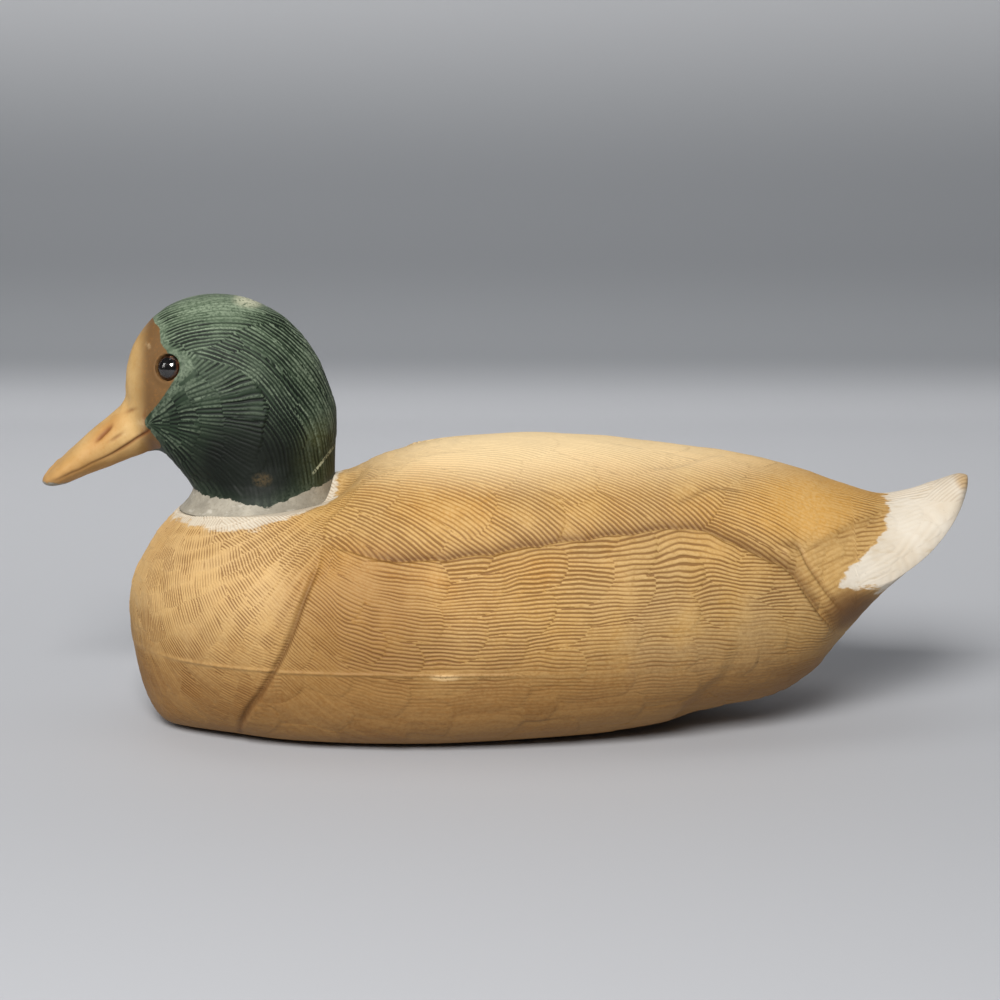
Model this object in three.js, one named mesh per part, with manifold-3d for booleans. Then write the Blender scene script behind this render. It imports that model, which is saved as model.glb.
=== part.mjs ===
// Duck decoy figurine: two hollow cast body shells glued at a level seam, a solid cast head
// seated on a tilted neck joint, glass eyes on wires, and a felt pad under the flat base.
// Millimetres. +Z is up, the bill points to -X, and the origin is on the table under the
// middle of the decoy's length.

import * as THREE from 'three';
import { mergeVertices } from 'three/addons/utils/BufferGeometryUtils.js';
import Module from 'manifold-3d';

const wasm = await Module();
wasm.setup();

// Body
const BODY_LENGTH = 276.5;        // breast to tail tip
const BACK_HEIGHT = 94.6;         // base to the top of the back
const BODY_BEAM = 116;            // across the flanks
const SHELL_WALL = 6;
const HOLLOW_ENDS = { breast: 4.6, tail: 82 };  // where the hollow ends, percent of the body length
const SEAM_HEIGHT = 28.5;         // level seam between the two shells, above the base

// Carved masses of the plumage on the body
const FLANK_LIP = 1.6;            // how far the flank feathers stand over the wing
const FLANK_CREASE = 1.3;         // depth of the crease above them
const BREAST_GROOVE = 1.0;        // depth of the groove between breast and flank
const MANTLE_LIP = 1.2;           // how far the mantle stands over the neck base
const WING_LIP = 0.9;             // how far the wing tip stands over the rump
const CARVING_REACH = 7;          // how far a raised lip takes to die away
const LIP_RISE = 2.5;             // how far a lip takes to come up from its edge
const EDGE_RUN = 6;               // how far one mass takes to run into the next
const CREASE_WIDTH = 3;
const GROOVE_WIDTH = 2;
const LOBE_STEP = 1.3;            // how far the vent lies under the rear of the flank
const LOBE_REACH = 16;            // how far behind that step the vent comes back out
const STRIP = { high: 0.8, wide: 2, away: 4.5 };  // narrow feather over the rear of the flank
const FLANK_FEATHER = { long: 18, wide: 13.5, rise: 0.7, lean: 0.25 };
const BACK_FEATHER = { long: 38, wide: 17, rise: 0.6, slant: THREE.MathUtils.degToRad(38) };
const TIP_ROUNDING = 0.42;        // how far a feather's sides fall back, as a share of its length
const TIP_FULLNESS = 1.64;        // how fast they do so, across the feather
const FEATHER_COVER = 1.25;       // a feather runs on under the ones ahead of it, as a share of its length

// Neck joint
const NECK_SETBACK = 44;          // breast to the middle of the neck joint
const NECK_JOINT_HEIGHT = 72.5;   // above the base, at that middle
const NECK_TILT = THREE.MathUtils.degToRad(3.7);
const NECK_JOINT_LENGTH = 52;
const NECK_JOINT_WIDTH = 52;
const NECK_JOINT_SHIFT = -1.4;    // the joint's outline lies a little ahead of its middle
const NECK_GROOVE = 0.8;          // gap around the neck where it sinks into the mantle
const GLUE_LINE = 0.3;
const NECK_SEAT_WALL = 8;
const SADDLE = { rise: 0.5, reach: 15, from: 3, to: 15 };  // the body dips to the joint beside the neck

// Head, in a frame whose origin is the middle of the neck joint
const SKULL = { x: -10.2, z: 34.7, long: 35.6, high: 31.7, halfWidth: 22.5, tilt: 48 };
const CHIN = { x: -32, z: 19, forward: 0.752, down: 0.659, softness: 5 };
const BILL_TIP_START = -62.5;     // where the bill starts to round off
const BILL_TIP_LENGTH = 9.4;
const BILL_ROOT = -28;            // how far back the bill runs into the skull
const BILL_SLOPE = THREE.MathUtils.degToRad(30);
const THROAT_WAY = THREE.MathUtils.degToRad(41);  // from the skull's middle, down towards the throat
const THROAT_GAP = 1.2;           // from the throat's skin to the line that the sections fan round

// Eyes
const EYE_DIAMETER = 9;
const EYE_PLACE = { x: -27.6, z: 47 };
const EYE_YAW = THREE.MathUtils.degToRad(23);
const EYE_PITCH = THREE.MathUtils.degToRad(12);
const EYE_DOME_RISE = 1.3;        // dome above the skin
const EYE_BACK_DEPTH = 2.4;       // flat back of the glass below the skin
const EYE_RIM = 0.7;
const PUPIL_DIAMETER = 5.4;
const EYE_DISC = 0.6;             // thickness of the pupil and of the iris ring
const EYE_WIRE_DIAMETER = 1.2;
const EYE_WIRE_LENGTH = 9;

// Fixings
const FIT = 0.3;                  // clearance around pins, screws and discs
const OVERCUT = 1;                // how far a cutting tool runs past the face that it opens
const NECK_SCREW_DIAMETER = 5;
const NECK_SCREW_LENGTH = 38;
const NECK_SCREW_PLACE = 7;       // behind the middle of the joint
const NECK_SCREW_HEAD = { across: 9.5, thick: 3.5 };
const SCREW_POINT = 0.8;
const NECK_WASHER = { across: 15, thick: 1.2 };
const NECK_DOWEL = { across: 8, long: 26, place: -11 };
const NECK_BOSS = { long: 40, wide: 24, deep: 20 };
const SEAM_DOWEL = { across: 6, long: 20 };
const SEAM_BOSS = { across: 15, high: 15, skin: 4 };  // skin: least wall outside a dowel's bore
const SEAM_DOWEL_STATIONS = { front: 20, rear: 66 };  // percent of the body length

// Base pad
const FELT_THICKNESS = 1.6;
const FELT_PROUD = 0.4;           // how far the felt lifts the base off the table
const FELT_INSET = 5;

// Lines plan of the body. Each row is a station, in percent: distance from the breast (of the
// body length), top, side and keel heights (of the back height), half beam and flat of the base
// (of the half beam), then the fullness of the upper and of the lower quarter (2 is round).
const LINES_PLAN = [
  [0.0, 38.9, 38.9, 38.9, 0.0, 0.0, 2.0, 2.0],
  [0.5, 50.5, 38.9, 25.3, 19.0, 0.0, 2.0, 2.0],
  [2.0, 59.5, 38.9, 8.9, 36.2, 1.7, 2.0, 2.1],
  [4.3, 69.3, 39.5, 1.1, 51.7, 12.1, 2.0, 2.2],
  [8.0, 78.6, 40.0, 0.0, 68.1, 21.6, 2.0, 2.2],
  [13.0, 83.8, 41.1, 0.0, 81.9, 31.9, 2.0, 2.2],
  [18.8, 85.3, 42.1, 0.0, 91.4, 45.7, 2.0, 2.2],
  [25.0, 86.8, 42.1, 0.0, 96.6, 52.6, 2.0, 2.2],
  [31.1, 93.7, 42.1, 0.0, 99.1, 55.2, 2.0, 2.2],
  [38.3, 98.2, 42.1, 0.0, 100.0, 53.4, 2.0, 2.2],
  [46.7, 100.0, 42.6, 0.0, 100.0, 43.1, 2.0, 2.2],
  [55.0, 99.2, 43.2, 0.0, 96.6, 29.3, 2.0, 2.2],
  [62.9, 96.8, 44.2, 1.6, 90.5, 12.1, 2.0, 2.2],
  [70.2, 94.3, 46.3, 6.3, 81.9, 0.0, 2.0, 2.2],
  [75.9, 91.2, 49.5, 8.6, 72.4, 0.0, 2.0, 2.1],
  [80.7, 87.4, 51.6, 15.3, 62.9, 0.0, 1.9, 1.9],
  [85.0, 82.9, 52.6, 27.9, 56.0, 0.0, 1.8, 1.5],
  [89.3, 79.2, 54.7, 45.3, 50.0, 0.0, 1.7, 1.5],
  [93.3, 80.8, 60.8, 63.2, 41.4, 0.0, 1.6, 1.6],
  [96.6, 84.2, 68.9, 76.8, 30.2, 0.0, 1.6, 1.8],
  [98.9, 86.3, 77.9, 83.2, 17.2, 0.0, 1.8, 2.0],
  [100.0, 85.8, 85.8, 85.8, 0.0, 0.0, 2.0, 2.0],
];
const KEEL_LAND = 0.04;           // least flat under the keel, as a share of the beam there
const FLAT_SHARE = 0.16;          // share of a half section that runs along the flat base
const LOWER_SHARE = 0.52;         // share up to the side, where the upper quarter starts

// Carved edges seen from the side, in percent of the body length and of the back height
const FLANK_TOP = [[24.2, 71.6], [31.5, 67.4], [40, 68.4], [51, 72.6], [60, 74.8], [64.4, 75.8],
  [71.4, 70], [76.5, 62.6], [79.4, 51.5], [83.8, 37.9]];
const BREAST_EDGE = [[24.1, 73], [23.7, 66.5], [22.3, 54.6], [20.6, 41.7], [17.2, 23.4], [14.5, 7]];
const MANTLE_EDGE = [[24.1, 70], [24.3, 77], [26.2, 80.5], [28.6, 87], [34.3, 94.5], [41, 98]];
const WING_EDGE = [[77, 68], [82.6, 70.6], [88.7, 74.6]];
const LOBE_EDGE = [[72.4, 54.5], [71.9, 48.2], [71.4, 42.9], [71.2, 37.1], [70.6, 32.3], [69.5, 26],
  [68.1, 21.8], [66.3, 15.4], [64.5, 8]];

// Where each carved mass fades, in percent of the body length (flank end, wing) or of the back
// height (base, mantle)
const FADES = {
  flankEnd: [80, 84],
  base: [4, 20],
  mantleFoot: [68, 74],
  mantleTop: [95, 100],
  wingRoot: [76, 79],
  wingTip: [88, 91],
  lobeFoot: [4, 12],
  lobeTop: [42, 55],
  stripRoot: [75, 78],
  feathersTop: [88, 98],
  feathersEnd: [84, 90],
};

// Neck of the head casting: height, middle, half length and half width, in the head's frame
const NECK_STACK = [
  [-8.8, -4.0, 29.0, 31.0],
  [-2.8, -1.5, 26.5, 28.0],
  [1.2, 0.2, 24.3, 25.4],
  [5.2, 1.3, 22.9, 23.6],
  [9.2, 0.9, 23.4, 22.6],
  [15.2, -0.4, 24.8, 22.0],
  [23.2, 0.4, 24.0, 21.5],
  [31.2, 1.4, 22.4, 20.5],
  [39.2, 2.0, 19.5, 19.0],
];
const NECK_TOP = 37.2;            // the neck melts into the skull at this height

// Bill along its length: x, middle height, half height and half width, in the head's frame
const BILL_STACK = [
  [-72.0, 7.0, 3.6, 10.0],
  [-68.0, 8.8, 4.2, 10.2],
  [-64.8, 10.7, 4.8, 10.4],
  [-57.0, 15.8, 6.6, 10.2],
  [-49.4, 20.3, 8.4, 9.4],
  [-44.4, 23.5, 9.6, 9.4],
  [-37.0, 26.4, 9.4, 10.2],
  [-26.0, 28.2, 9.4, 11.0],
];

// Derived places
const BILL_REACH = -(BILL_TIP_START - BILL_TIP_LENGTH);
const OVERALL_LENGTH = BODY_LENGTH + BILL_REACH - NECK_SETBACK;
const TAIL_TIP_X = OVERALL_LENGTH / 2;
const BREAST_X = TAIL_TIP_X - BODY_LENGTH;
const NECK_PLACE = new THREE.Vector3(BREAST_X + NECK_SETBACK, 0, FELT_PROUD + NECK_JOINT_HEIGHT);
const SEAM_Z = FELT_PROUD + SEAM_HEIGHT;
const WORLD = Math.ceil(2 * OVERALL_LENGTH);  // cutting blocks reach this far

// Facets
const BODY_RINGS = 64;
const HALF_SECTION_STEPS = 27;
const HOLLOW_RINGS = 13;
const BILL_SECTIONS = 12;
const FAN_SECTIONS = 26;
const NECK_SECTIONS = 6;
const HEAD_SIDES = 36;
const ROUND_SIDES = 24;
const SMALL_SIDES = 16;
const DOME_STEPS = 5;
const OUTLINE_STEPS = 30;

const resin = new THREE.MeshStandardMaterial({ color: 0xcda567, roughness: 0.6, metalness: 0 });
const greenPaint = new THREE.MeshStandardMaterial({ color: 0x3c5a45, roughness: 0.5, metalness: 0 });
const clearGlass = new THREE.MeshStandardMaterial({ color: 0xe8ecee, roughness: 0.03, metalness: 0 });
const blackGlass = new THREE.MeshStandardMaterial({ color: 0x080707, roughness: 0.05, metalness: 0 });
const brownEnamel = new THREE.MeshStandardMaterial({ color: 0x3a1c10, roughness: 0.3, metalness: 0 });
const steel = new THREE.MeshStandardMaterial({ color: 0xb0b3b6, roughness: 0.35, metalness: 1 });
const beech = new THREE.MeshStandardMaterial({ color: 0xc79f6d, roughness: 0.7, metalness: 0 });
const feltCloth = new THREE.MeshStandardMaterial({ color: 0x4a3524, roughness: 0.95, metalness: 0 });

// Solids

function solidOf(geometry) {
  const bare = geometry.clone();
  bare.deleteAttribute('normal');
  bare.deleteAttribute('uv');
  const merged = mergeVertices(bare, 1e-4);
  return new wasm.Manifold(new wasm.Mesh({
    numProp: 3,
    vertProperties: new Float32Array(merged.attributes.position.array),
    triVerts: new Uint32Array(merged.index.array),
  }));
}

function geometryOf(solid) {
  const mesh = solid.getMesh();
  const geometry = new THREE.BufferGeometry();
  geometry.setAttribute('position', new THREE.BufferAttribute(new Float32Array(mesh.vertProperties), 3));
  geometry.setIndex(new THREE.BufferAttribute(new Uint32Array(mesh.triVerts), 1));
  geometry.computeVertexNormals();
  return geometry;
}

function named(name, geometry, material) {
  const mesh = new THREE.Mesh(geometry, material);
  mesh.name = name;
  return mesh;
}

// Everything above (way 1) or below (way -1) a level. The block's own height is a whole number,
// so that two blocks made for one level share its face exactly.
function halfSpace(level, way) {
  const block = new THREE.BoxGeometry(2 * WORLD, 2 * WORLD, WORLD);
  return solidOf(block.translate(0, 0, level + (way * WORLD) / 2));
}

// An upright round rod from z = low to z = high; a second radius stretches it across y
function rod(low, high, radiusX, { radiusY = radiusX, sides = ROUND_SIDES } = {}) {
  const geometry = new THREE.CylinderGeometry(1, 1, high - low, sides);
  geometry.rotateX(Math.PI / 2);
  geometry.scale(radiusX, radiusY, 1);
  return geometry.translate(0, 0, (low + high) / 2);
}

function middleOf(ring) {
  const sum = ring.reduce((total, point) => total.add(point), new THREE.Vector3());
  return sum.divideScalar(ring.length);
}

// Closes a stack of rings, each with the same number of points, with a fan over both ends. The
// fans meet at the given tips, or else at the middles of the end rings.
function loft(rings, tips = [rings[0], rings.at(-1)].map(middleOf)) {
  const positions = [];
  const indices = [];
  const sides = rings[0].length;
  rings.forEach((ring) => ring.forEach((point) => positions.push(point.x, point.y, point.z)));
  const corner = (ring, side) => ring * sides + (side % sides);
  for (let ring = 0; ring + 1 < rings.length; ring += 1) {
    for (let side = 0; side < sides; side += 1) {
      indices.push(corner(ring, side), corner(ring + 1, side), corner(ring + 1, side + 1));
      indices.push(corner(ring, side), corner(ring + 1, side + 1), corner(ring, side + 1));
    }
  }
  [0, rings.length - 1].forEach((ring, end) => {
    const hub = positions.length / 3;
    positions.push(...tips[end].toArray());
    for (let side = 0; side < sides; side += 1) {
      const edge = [corner(ring, side), corner(ring, side + 1)];
      indices.push(hub, ...(ring === 0 ? edge : edge.reverse()));
    }
  });
  const geometry = new THREE.BufferGeometry();
  geometry.setAttribute('position', new THREE.Float32BufferAttribute(positions, 3));
  geometry.setIndex(indices);
  return geometry;
}

// Body lines

// Rows just past both ends mirror the next station, so that the hull closes round
function endRow(end, next) {
  return next.map((value, column) => (column > 0 && column < 5 ? 2 * end[column] - value : value));
}

const PLAN_ROWS = [
  endRow(LINES_PLAN[0], LINES_PLAN[1]),
  ...LINES_PLAN,
  endRow(LINES_PLAN.at(-1), LINES_PLAN.at(-2)),
];
const LAST_STATION = LINES_PLAN.length - 1;

// Fair line through the stations; station 0 is the breast and LAST_STATION the tail tip
function linesAt(station) {
  const row = Math.min(Math.floor(station), LAST_STATION - 1);
  const f = station - row;
  const [before, from, to, after] = PLAN_ROWS.slice(row, row + 4);
  const [along, top, side, keel, beam, flat, upper, lower] = from.map((value, column) => {
    const leave = (to[column] - before[column]) / 2;
    const arrive = (after[column] - value) / 2;
    return value * (2 * f ** 3 - 3 * f ** 2 + 1) + leave * (f ** 3 - 2 * f ** 2 + f)
      + to[column] * (3 * f ** 2 - 2 * f ** 3) + arrive * (f ** 3 - f ** 2);
  });
  return {
    x: BREAST_X + (along / 100) * BODY_LENGTH,
    top: FELT_PROUD + (top / 100) * BACK_HEIGHT,
    side: FELT_PROUD + (side / 100) * BACK_HEIGHT,
    keel: FELT_PROUD + (Math.max(keel, 0) / 100) * BACK_HEIGHT,
    beam: (Math.max(beam, 0) / 200) * BODY_BEAM,
    flat: (Math.max(flat, KEEL_LAND * beam, 0) / 200) * BODY_BEAM,
    upper,
    lower,
  };
}

function stationAt(x) {
  let low = 0;
  let high = LAST_STATION;
  for (let halving = 0; halving < 40; halving += 1) {
    const middle = (low + high) / 2;
    if (linesAt(middle).x < x) low = middle;
    else high = middle;
  }
  return low;
}

// Half section, v from 0 at the keel to 1 at the back: half breadth and height
function halfSection(line, v) {
  if (v < FLAT_SHARE) return { y: (line.flat * v) / FLAT_SHARE, z: line.keel };
  if (v < LOWER_SHARE) {
    const turn = ((v - FLAT_SHARE) / (LOWER_SHARE - FLAT_SHARE)) * (Math.PI / 2);
    return {
      y: line.flat + (line.beam - line.flat) * Math.sin(turn) ** (2 / line.lower),
      z: line.side - (line.side - line.keel) * Math.cos(turn) ** (2 / line.lower),
    };
  }
  const turn = ((v - LOWER_SHARE) / (1 - LOWER_SHARE)) * (Math.PI / 2);
  return {
    y: line.beam * Math.max(Math.cos(turn), 0) ** (2 / line.upper),
    z: line.side + (line.top - line.side) * Math.sin(turn) ** (2 / line.upper),
  };
}

// Half breadth of the hull at a height between the keel and the side
function breadthAt(line, z) {
  const fall = Math.min(Math.max((line.side - z) / (line.side - line.keel), 0), 1);
  const cosine = fall ** (line.lower / 2);
  return line.flat + (line.beam - line.flat) * (1 - cosine ** 2) ** (1 / line.lower);
}

// Carved masses

const smooth = (t) => {
  const s = Math.min(Math.max(t, 0), 1);
  return s * s * (3 - 2 * s);
};
const ridge = (distance, reach) => Math.exp(-((distance / reach) ** 2));

function readCurve(points, column) {
  const curve = new THREE.SplineCurve(points.map(([a, b]) => new THREE.Vector2(a, b))).getPoints(96);
  const key = column === 'x' ? 'y' : 'x';
  const ordered = [...curve].sort((a, b) => a[key] - b[key]);
  return (at) => {
    const next = ordered.findIndex((point) => point[key] >= at);
    if (next < 0) return ordered.at(-1)[column];
    if (next === 0) return ordered[0][column];
    const [a, b] = [ordered[next - 1], ordered[next]];
    return a[column] + ((b[column] - a[column]) * (at - a[key])) / (b[key] - a[key] || 1);
  };
}

const flankTop = readCurve(FLANK_TOP, 'y');
const breastEdge = readCurve(BREAST_EDGE, 'x');
const mantleEdge = readCurve(MANTLE_EDGE, 'x');
const wingEdge = readCurve(WING_EDGE, 'y');
const lobeEdge = readCurve(LOBE_EDGE, 'x');

const fadeIn = (value, [from, to]) => smooth((value - from) / (to - from));
const fadeOut = (value, range) => 1 - fadeIn(value, range);
const lip = (distance) => smooth(distance / LIP_RISE) * Math.exp(-Math.max(distance, 0) / CARVING_REACH);

// Feathers in staggered courses, the front ones on top: 0 where one comes out, 1 at its tip
function shingled(along, across, { long, wide }) {
  for (let course = Math.floor(along / long) - 1; ; course += 1) {
    const place = across / wide - (Math.abs(course) % 2) / 2;
    const aside = (place - Math.round(place)) * TIP_FULLNESS;
    const tip = course * long - TIP_ROUNDING * long * (1 - Math.sqrt(1 - aside ** 2));
    if (along < tip) return Math.max(1 - (tip - along) / (FEATHER_COVER * long), 0) ** 1.5;
  }
}

// Height of the carved masses above the fair hull, from a place in side view and its distance
// up the section from the side line
function carving(x, z, girth) {
  const along = ((x - BREAST_X) / BODY_LENGTH) * 100;
  const high = ((z - FELT_PROUD) / BACK_HEIGHT) * 100;
  const belowFlankTop = ((flankTop(along) - high) / 100) * BACK_HEIGHT;
  const behindBreast = ((along - breastEdge(high)) / 100) * BODY_LENGTH;
  const behindMantle = ((along - mantleEdge(high)) / 100) * BODY_LENGTH;
  const aboveWing = ((high - wingEdge(along)) / 100) * BACK_HEIGHT;
  const flankRun = smooth(behindBreast / EDGE_RUN) * fadeOut(along, FADES.flankEnd);
  const breastRun = fadeIn(high, FADES.base);
  const mantleRun = fadeIn(high, FADES.mantleFoot) * fadeOut(high, FADES.mantleTop);
  const wingRun = fadeIn(along, FADES.wingRoot) * fadeOut(along, FADES.wingTip);
  const crease = FLANK_CREASE * ridge(belowFlankTop + GROOVE_WIDTH, CREASE_WIDTH);
  const flank = FLANK_LIP * lip(belowFlankTop) - crease;
  const groove = BREAST_GROOVE * ridge(behindBreast, GROOVE_WIDTH) * smooth(1 + belowFlankTop / EDGE_RUN);
  const overlap = (FLANK_LIP / 2) * lip(behindBreast) * smooth(belowFlankTop / EDGE_RUN);
  const mantle = MANTLE_LIP * (lip(behindMantle) - ridge(behindMantle + CREASE_WIDTH, CREASE_WIDTH) / 2);
  const wing = WING_LIP * (lip(aboveWing) - ridge(aboveWing + GROOVE_WIDTH, CREASE_WIDTH) / 2);
  const behindLobe = ((along - lobeEdge(high)) / 100) * BODY_LENGTH;
  const lobeRun = fadeIn(high, FADES.lobeFoot) * fadeOut(high, FADES.lobeTop);
  const lobeStep = smooth((behindLobe + LIP_RISE / 2) / LIP_RISE);
  const lobe = LOBE_STEP * lobeStep * Math.exp(-Math.max(behindLobe, 0) / LOBE_REACH);
  const stripRun = fadeIn(along, FADES.stripRoot) * fadeOut(along, FADES.flankEnd);
  const strip = STRIP.high * ridge(belowFlankTop + STRIP.away, STRIP.wide);
  return flank * flankRun + (overlap - groove) * breastRun + mantle * mantleRun + wing * wingRun
    - lobe * lobeRun + strip * stripRun + feathering(x, girth, belowFlankTop, behindBreast, { along, high });
}

// The broad feathers of the flank and, slanting down to the rear, of the back
function feathering(x, girth, belowFlankTop, behindBreast, { along, high }) {
  const { lean, rise } = FLANK_FEATHER;
  const flankRun = smooth(belowFlankTop / LIP_RISE) * smooth(behindBreast / EDGE_RUN);
  const flank = rise * shingled(x + lean * belowFlankTop, -belowFlankTop, FLANK_FEATHER);
  const cos = Math.cos(BACK_FEATHER.slant);
  const sin = Math.sin(BACK_FEATHER.slant);
  const back = BACK_FEATHER.rise * shingled(x * cos - girth * sin, x * sin + girth * cos, BACK_FEATHER);
  const backRun = smooth(-belowFlankTop / LIP_RISE) * smooth((along - mantleEdge(high)) / LIP_RISE);
  return flank * flankRun * fadeIn(high, FADES.base) * fadeOut(along, FADES.flankEnd)
    + back * backRun * fadeOut(high, FADES.feathersTop) * fadeOut(along, FADES.feathersEnd);
}

// How far the body comes down towards the neck joint at a place beside the neck
function saddle(x, y, z) {
  const ahead = x - NECK_PLACE.x;
  const above = z - NECK_PLACE.z;
  const height = above * Math.cos(NECK_TILT) - ahead * Math.sin(NECK_TILT);
  const along = ahead * Math.cos(NECK_TILT) + above * Math.sin(NECK_TILT);
  const away = Math.hypot(along - NECK_JOINT_SHIFT, y) - NECK_JOINT_LENGTH / 2;
  const beside = smooth((y - SADDLE.from) / (SADDLE.to - SADDLE.from));
  return (1 - smooth(away / SADDLE.reach)) * beside * Math.max(height - SADDLE.rise, 0);
}

function hullPoint(line, v) {
  const step = 1e-3;
  const here = halfSection(line, v);
  const ahead = halfSection(line, Math.min(v + step, 1));
  const behind = halfSection(line, Math.max(v - step, 0));
  const run = Math.hypot(ahead.y - behind.y, ahead.z - behind.z) || 1;
  const quarter = (Math.PI / 4) * (line.beam + line.top - line.side);
  const girth = ((v - LOWER_SHARE) / (1 - LOWER_SHARE)) * quarter;
  const raise = v > 0 && v < 1 ? carving(line.x, here.z, girth) : 0;
  const y = here.y + (raise * (ahead.z - behind.z)) / run;
  const z = here.z - (raise * (ahead.y - behind.y)) / run;
  return { y, z: Math.max(z - saddle(line.x, y, z), FELT_PROUD) };
}

// A full ring: up the near side, then down the far side
function ringAt(line, pointAt) {
  const ring = [];
  for (let step = 0; step <= HALF_SECTION_STEPS; step += 1) {
    const { y, z } = pointAt(line, step / HALF_SECTION_STEPS);
    ring.push(new THREE.Vector3(line.x, -y, z));
  }
  for (let step = HALF_SECTION_STEPS - 1; step > 0; step -= 1) {
    ring.push(ring[step].clone().multiply(new THREE.Vector3(1, -1, 1)));
  }
  return ring;
}

// Stations an even distance apart along the hull's skin, the first and last of them a small
// part of a step in from the ends
function evenStations(count) {
  const samples = 600;
  const endShare = 0.35;
  const travelled = [0];
  let last = linesAt(0);
  for (let sample = 1; sample <= samples; sample += 1) {
    const line = linesAt((sample / samples) * LAST_STATION);
    const stride = Math.hypot(line.x - last.x, (line.top - last.top) / 2, (line.beam - last.beam) / 2);
    travelled.push(travelled.at(-1) + stride);
    last = line;
  }
  return Array.from({ length: count }, (_, index) => {
    const goal = ((index + endShare) / (count - 1 + 2 * endShare)) * travelled.at(-1);
    return (travelled.findIndex((distance) => distance >= goal) / samples) * LAST_STATION;
  });
}

const hullRings = evenStations(BODY_RINGS).map((station) => ringAt(linesAt(station), hullPoint));
const hullTips = [0, LAST_STATION].map(linesAt).map(({ x, side }) => new THREE.Vector3(x, 0, side));
const hull = solidOf(loft(hullRings, hullTips));

// Hollow of the body: the same sections drawn in by the wall, from the breast to the tail root
function hollowSolid() {
  const rings = [];
  const { breast, tail } = HOLLOW_ENDS;
  for (let index = 0; index < HOLLOW_RINGS; index += 1) {
    const along = breast + ((tail - breast) * index) / (HOLLOW_RINGS - 1);
    const line = linesAt(stationAt(BREAST_X + (along / 100) * BODY_LENGTH));
    const drawnIn = {
      ...line,
      top: line.top - SHELL_WALL,
      keel: line.keel + SHELL_WALL,
      beam: line.beam - SHELL_WALL,
      flat: Math.max(line.flat - SHELL_WALL / 2, KEEL_LAND * line.beam),
    };
    rings.push(ringAt(drawnIn, halfSection).filter((_, side) => side % 2 === 0));
  }
  return solidOf(loft(rings));
}

// Fixings

const inNeckFrame = (geometry) => geometry.rotateY(-NECK_TILT).translate(...NECK_PLACE.toArray());
const neckPlug = (grow, low, high) => rod(low, high, NECK_JOINT_LENGTH / 2 + grow, {
  radiusY: NECK_JOINT_WIDTH / 2 + grow,
  sides: 2 * HEAD_SIDES,
}).translate(NECK_JOINT_SHIFT, 0, 0);

function seamDowelPlace(stationPercent) {
  const line = linesAt(stationAt(BREAST_X + (stationPercent / 100) * BODY_LENGTH));
  const boreFoot = SEAM_Z - SEAM_DOWEL.long / 2 - FIT;
  return { x: line.x, y: breadthAt(line, boreFoot) - SEAM_BOSS.skin - SEAM_DOWEL.across / 2 - FIT };
}

const seamDowels = Object.entries(SEAM_DOWEL_STATIONS).flatMap(([end, percent]) => {
  const { x, y } = seamDowelPlace(percent);
  return [['left', -y], ['right', y]].map(([side, sideY]) => ({ name: `${end}_${side}`, x, y: sideY }));
});

function seamBore({ x, y }) {
  const half = SEAM_DOWEL.long / 2 + FIT;
  return solidOf(rod(SEAM_Z - half, SEAM_Z + half, SEAM_DOWEL.across / 2 + FIT).translate(x, y, 0));
}

const NECK_BORE_TOP = NECK_DOWEL.long / 2 + FIT;
const SCREW_SEAT = -NECK_BOSS.deep;
const SCREW_TIP = SCREW_SEAT - NECK_WASHER.thick - 2 * FIT + NECK_SCREW_LENGTH;

function neckBores() {
  const dowel = rod(-NECK_BORE_TOP, NECK_BORE_TOP, NECK_DOWEL.across / 2 + FIT);
  const screwBore = NECK_SCREW_DIAMETER / 2 + FIT;
  const screw = rod(SCREW_SEAT - OVERCUT, SCREW_TIP + FIT, screwBore, { sides: SMALL_SIDES });
  return solidOf(dowel.translate(NECK_DOWEL.place, 0, 0))
    .add(solidOf(screw.translate(NECK_SCREW_PLACE, 0, 0)))
    .rotate([0, -THREE.MathUtils.radToDeg(NECK_TILT), 0])
    .translate(NECK_PLACE.toArray());
}

// Outline of the felt: the flat of the base, drawn in all round
function feltOutline(grow) {
  const near = [];
  const inset = FELT_INSET - grow;
  for (let step = 0; step <= OUTLINE_STEPS; step += 1) {
    const line = linesAt((step / OUTLINE_STEPS) * LAST_STATION);
    const isFlat = line.keel === FELT_PROUD && line.flat > 2 * FELT_INSET;
    if (isFlat) near.push(new THREE.Vector2(line.x, line.flat - inset));
  }
  const first = near[0];
  const last = near.at(-1);
  const shape = new THREE.Shape();
  shape.moveTo(first.x - grow, -first.y);
  shape.lineTo(first.x - grow, first.y);
  near.slice(1, -1).forEach(({ x, y }) => shape.lineTo(x, y));
  shape.lineTo(last.x + grow, last.y);
  shape.lineTo(last.x + grow, -last.y);
  near.slice(1, -1).reverse().forEach(({ x, y }) => shape.lineTo(x, -y));
  shape.closePath();
  return shape;
}

function feltSolid(grow, low, high) {
  const options = { depth: high - low, bevelEnabled: false };
  return new THREE.ExtrudeGeometry(feltOutline(grow), options).translate(0, 0, low);
}

// Body shells

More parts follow.
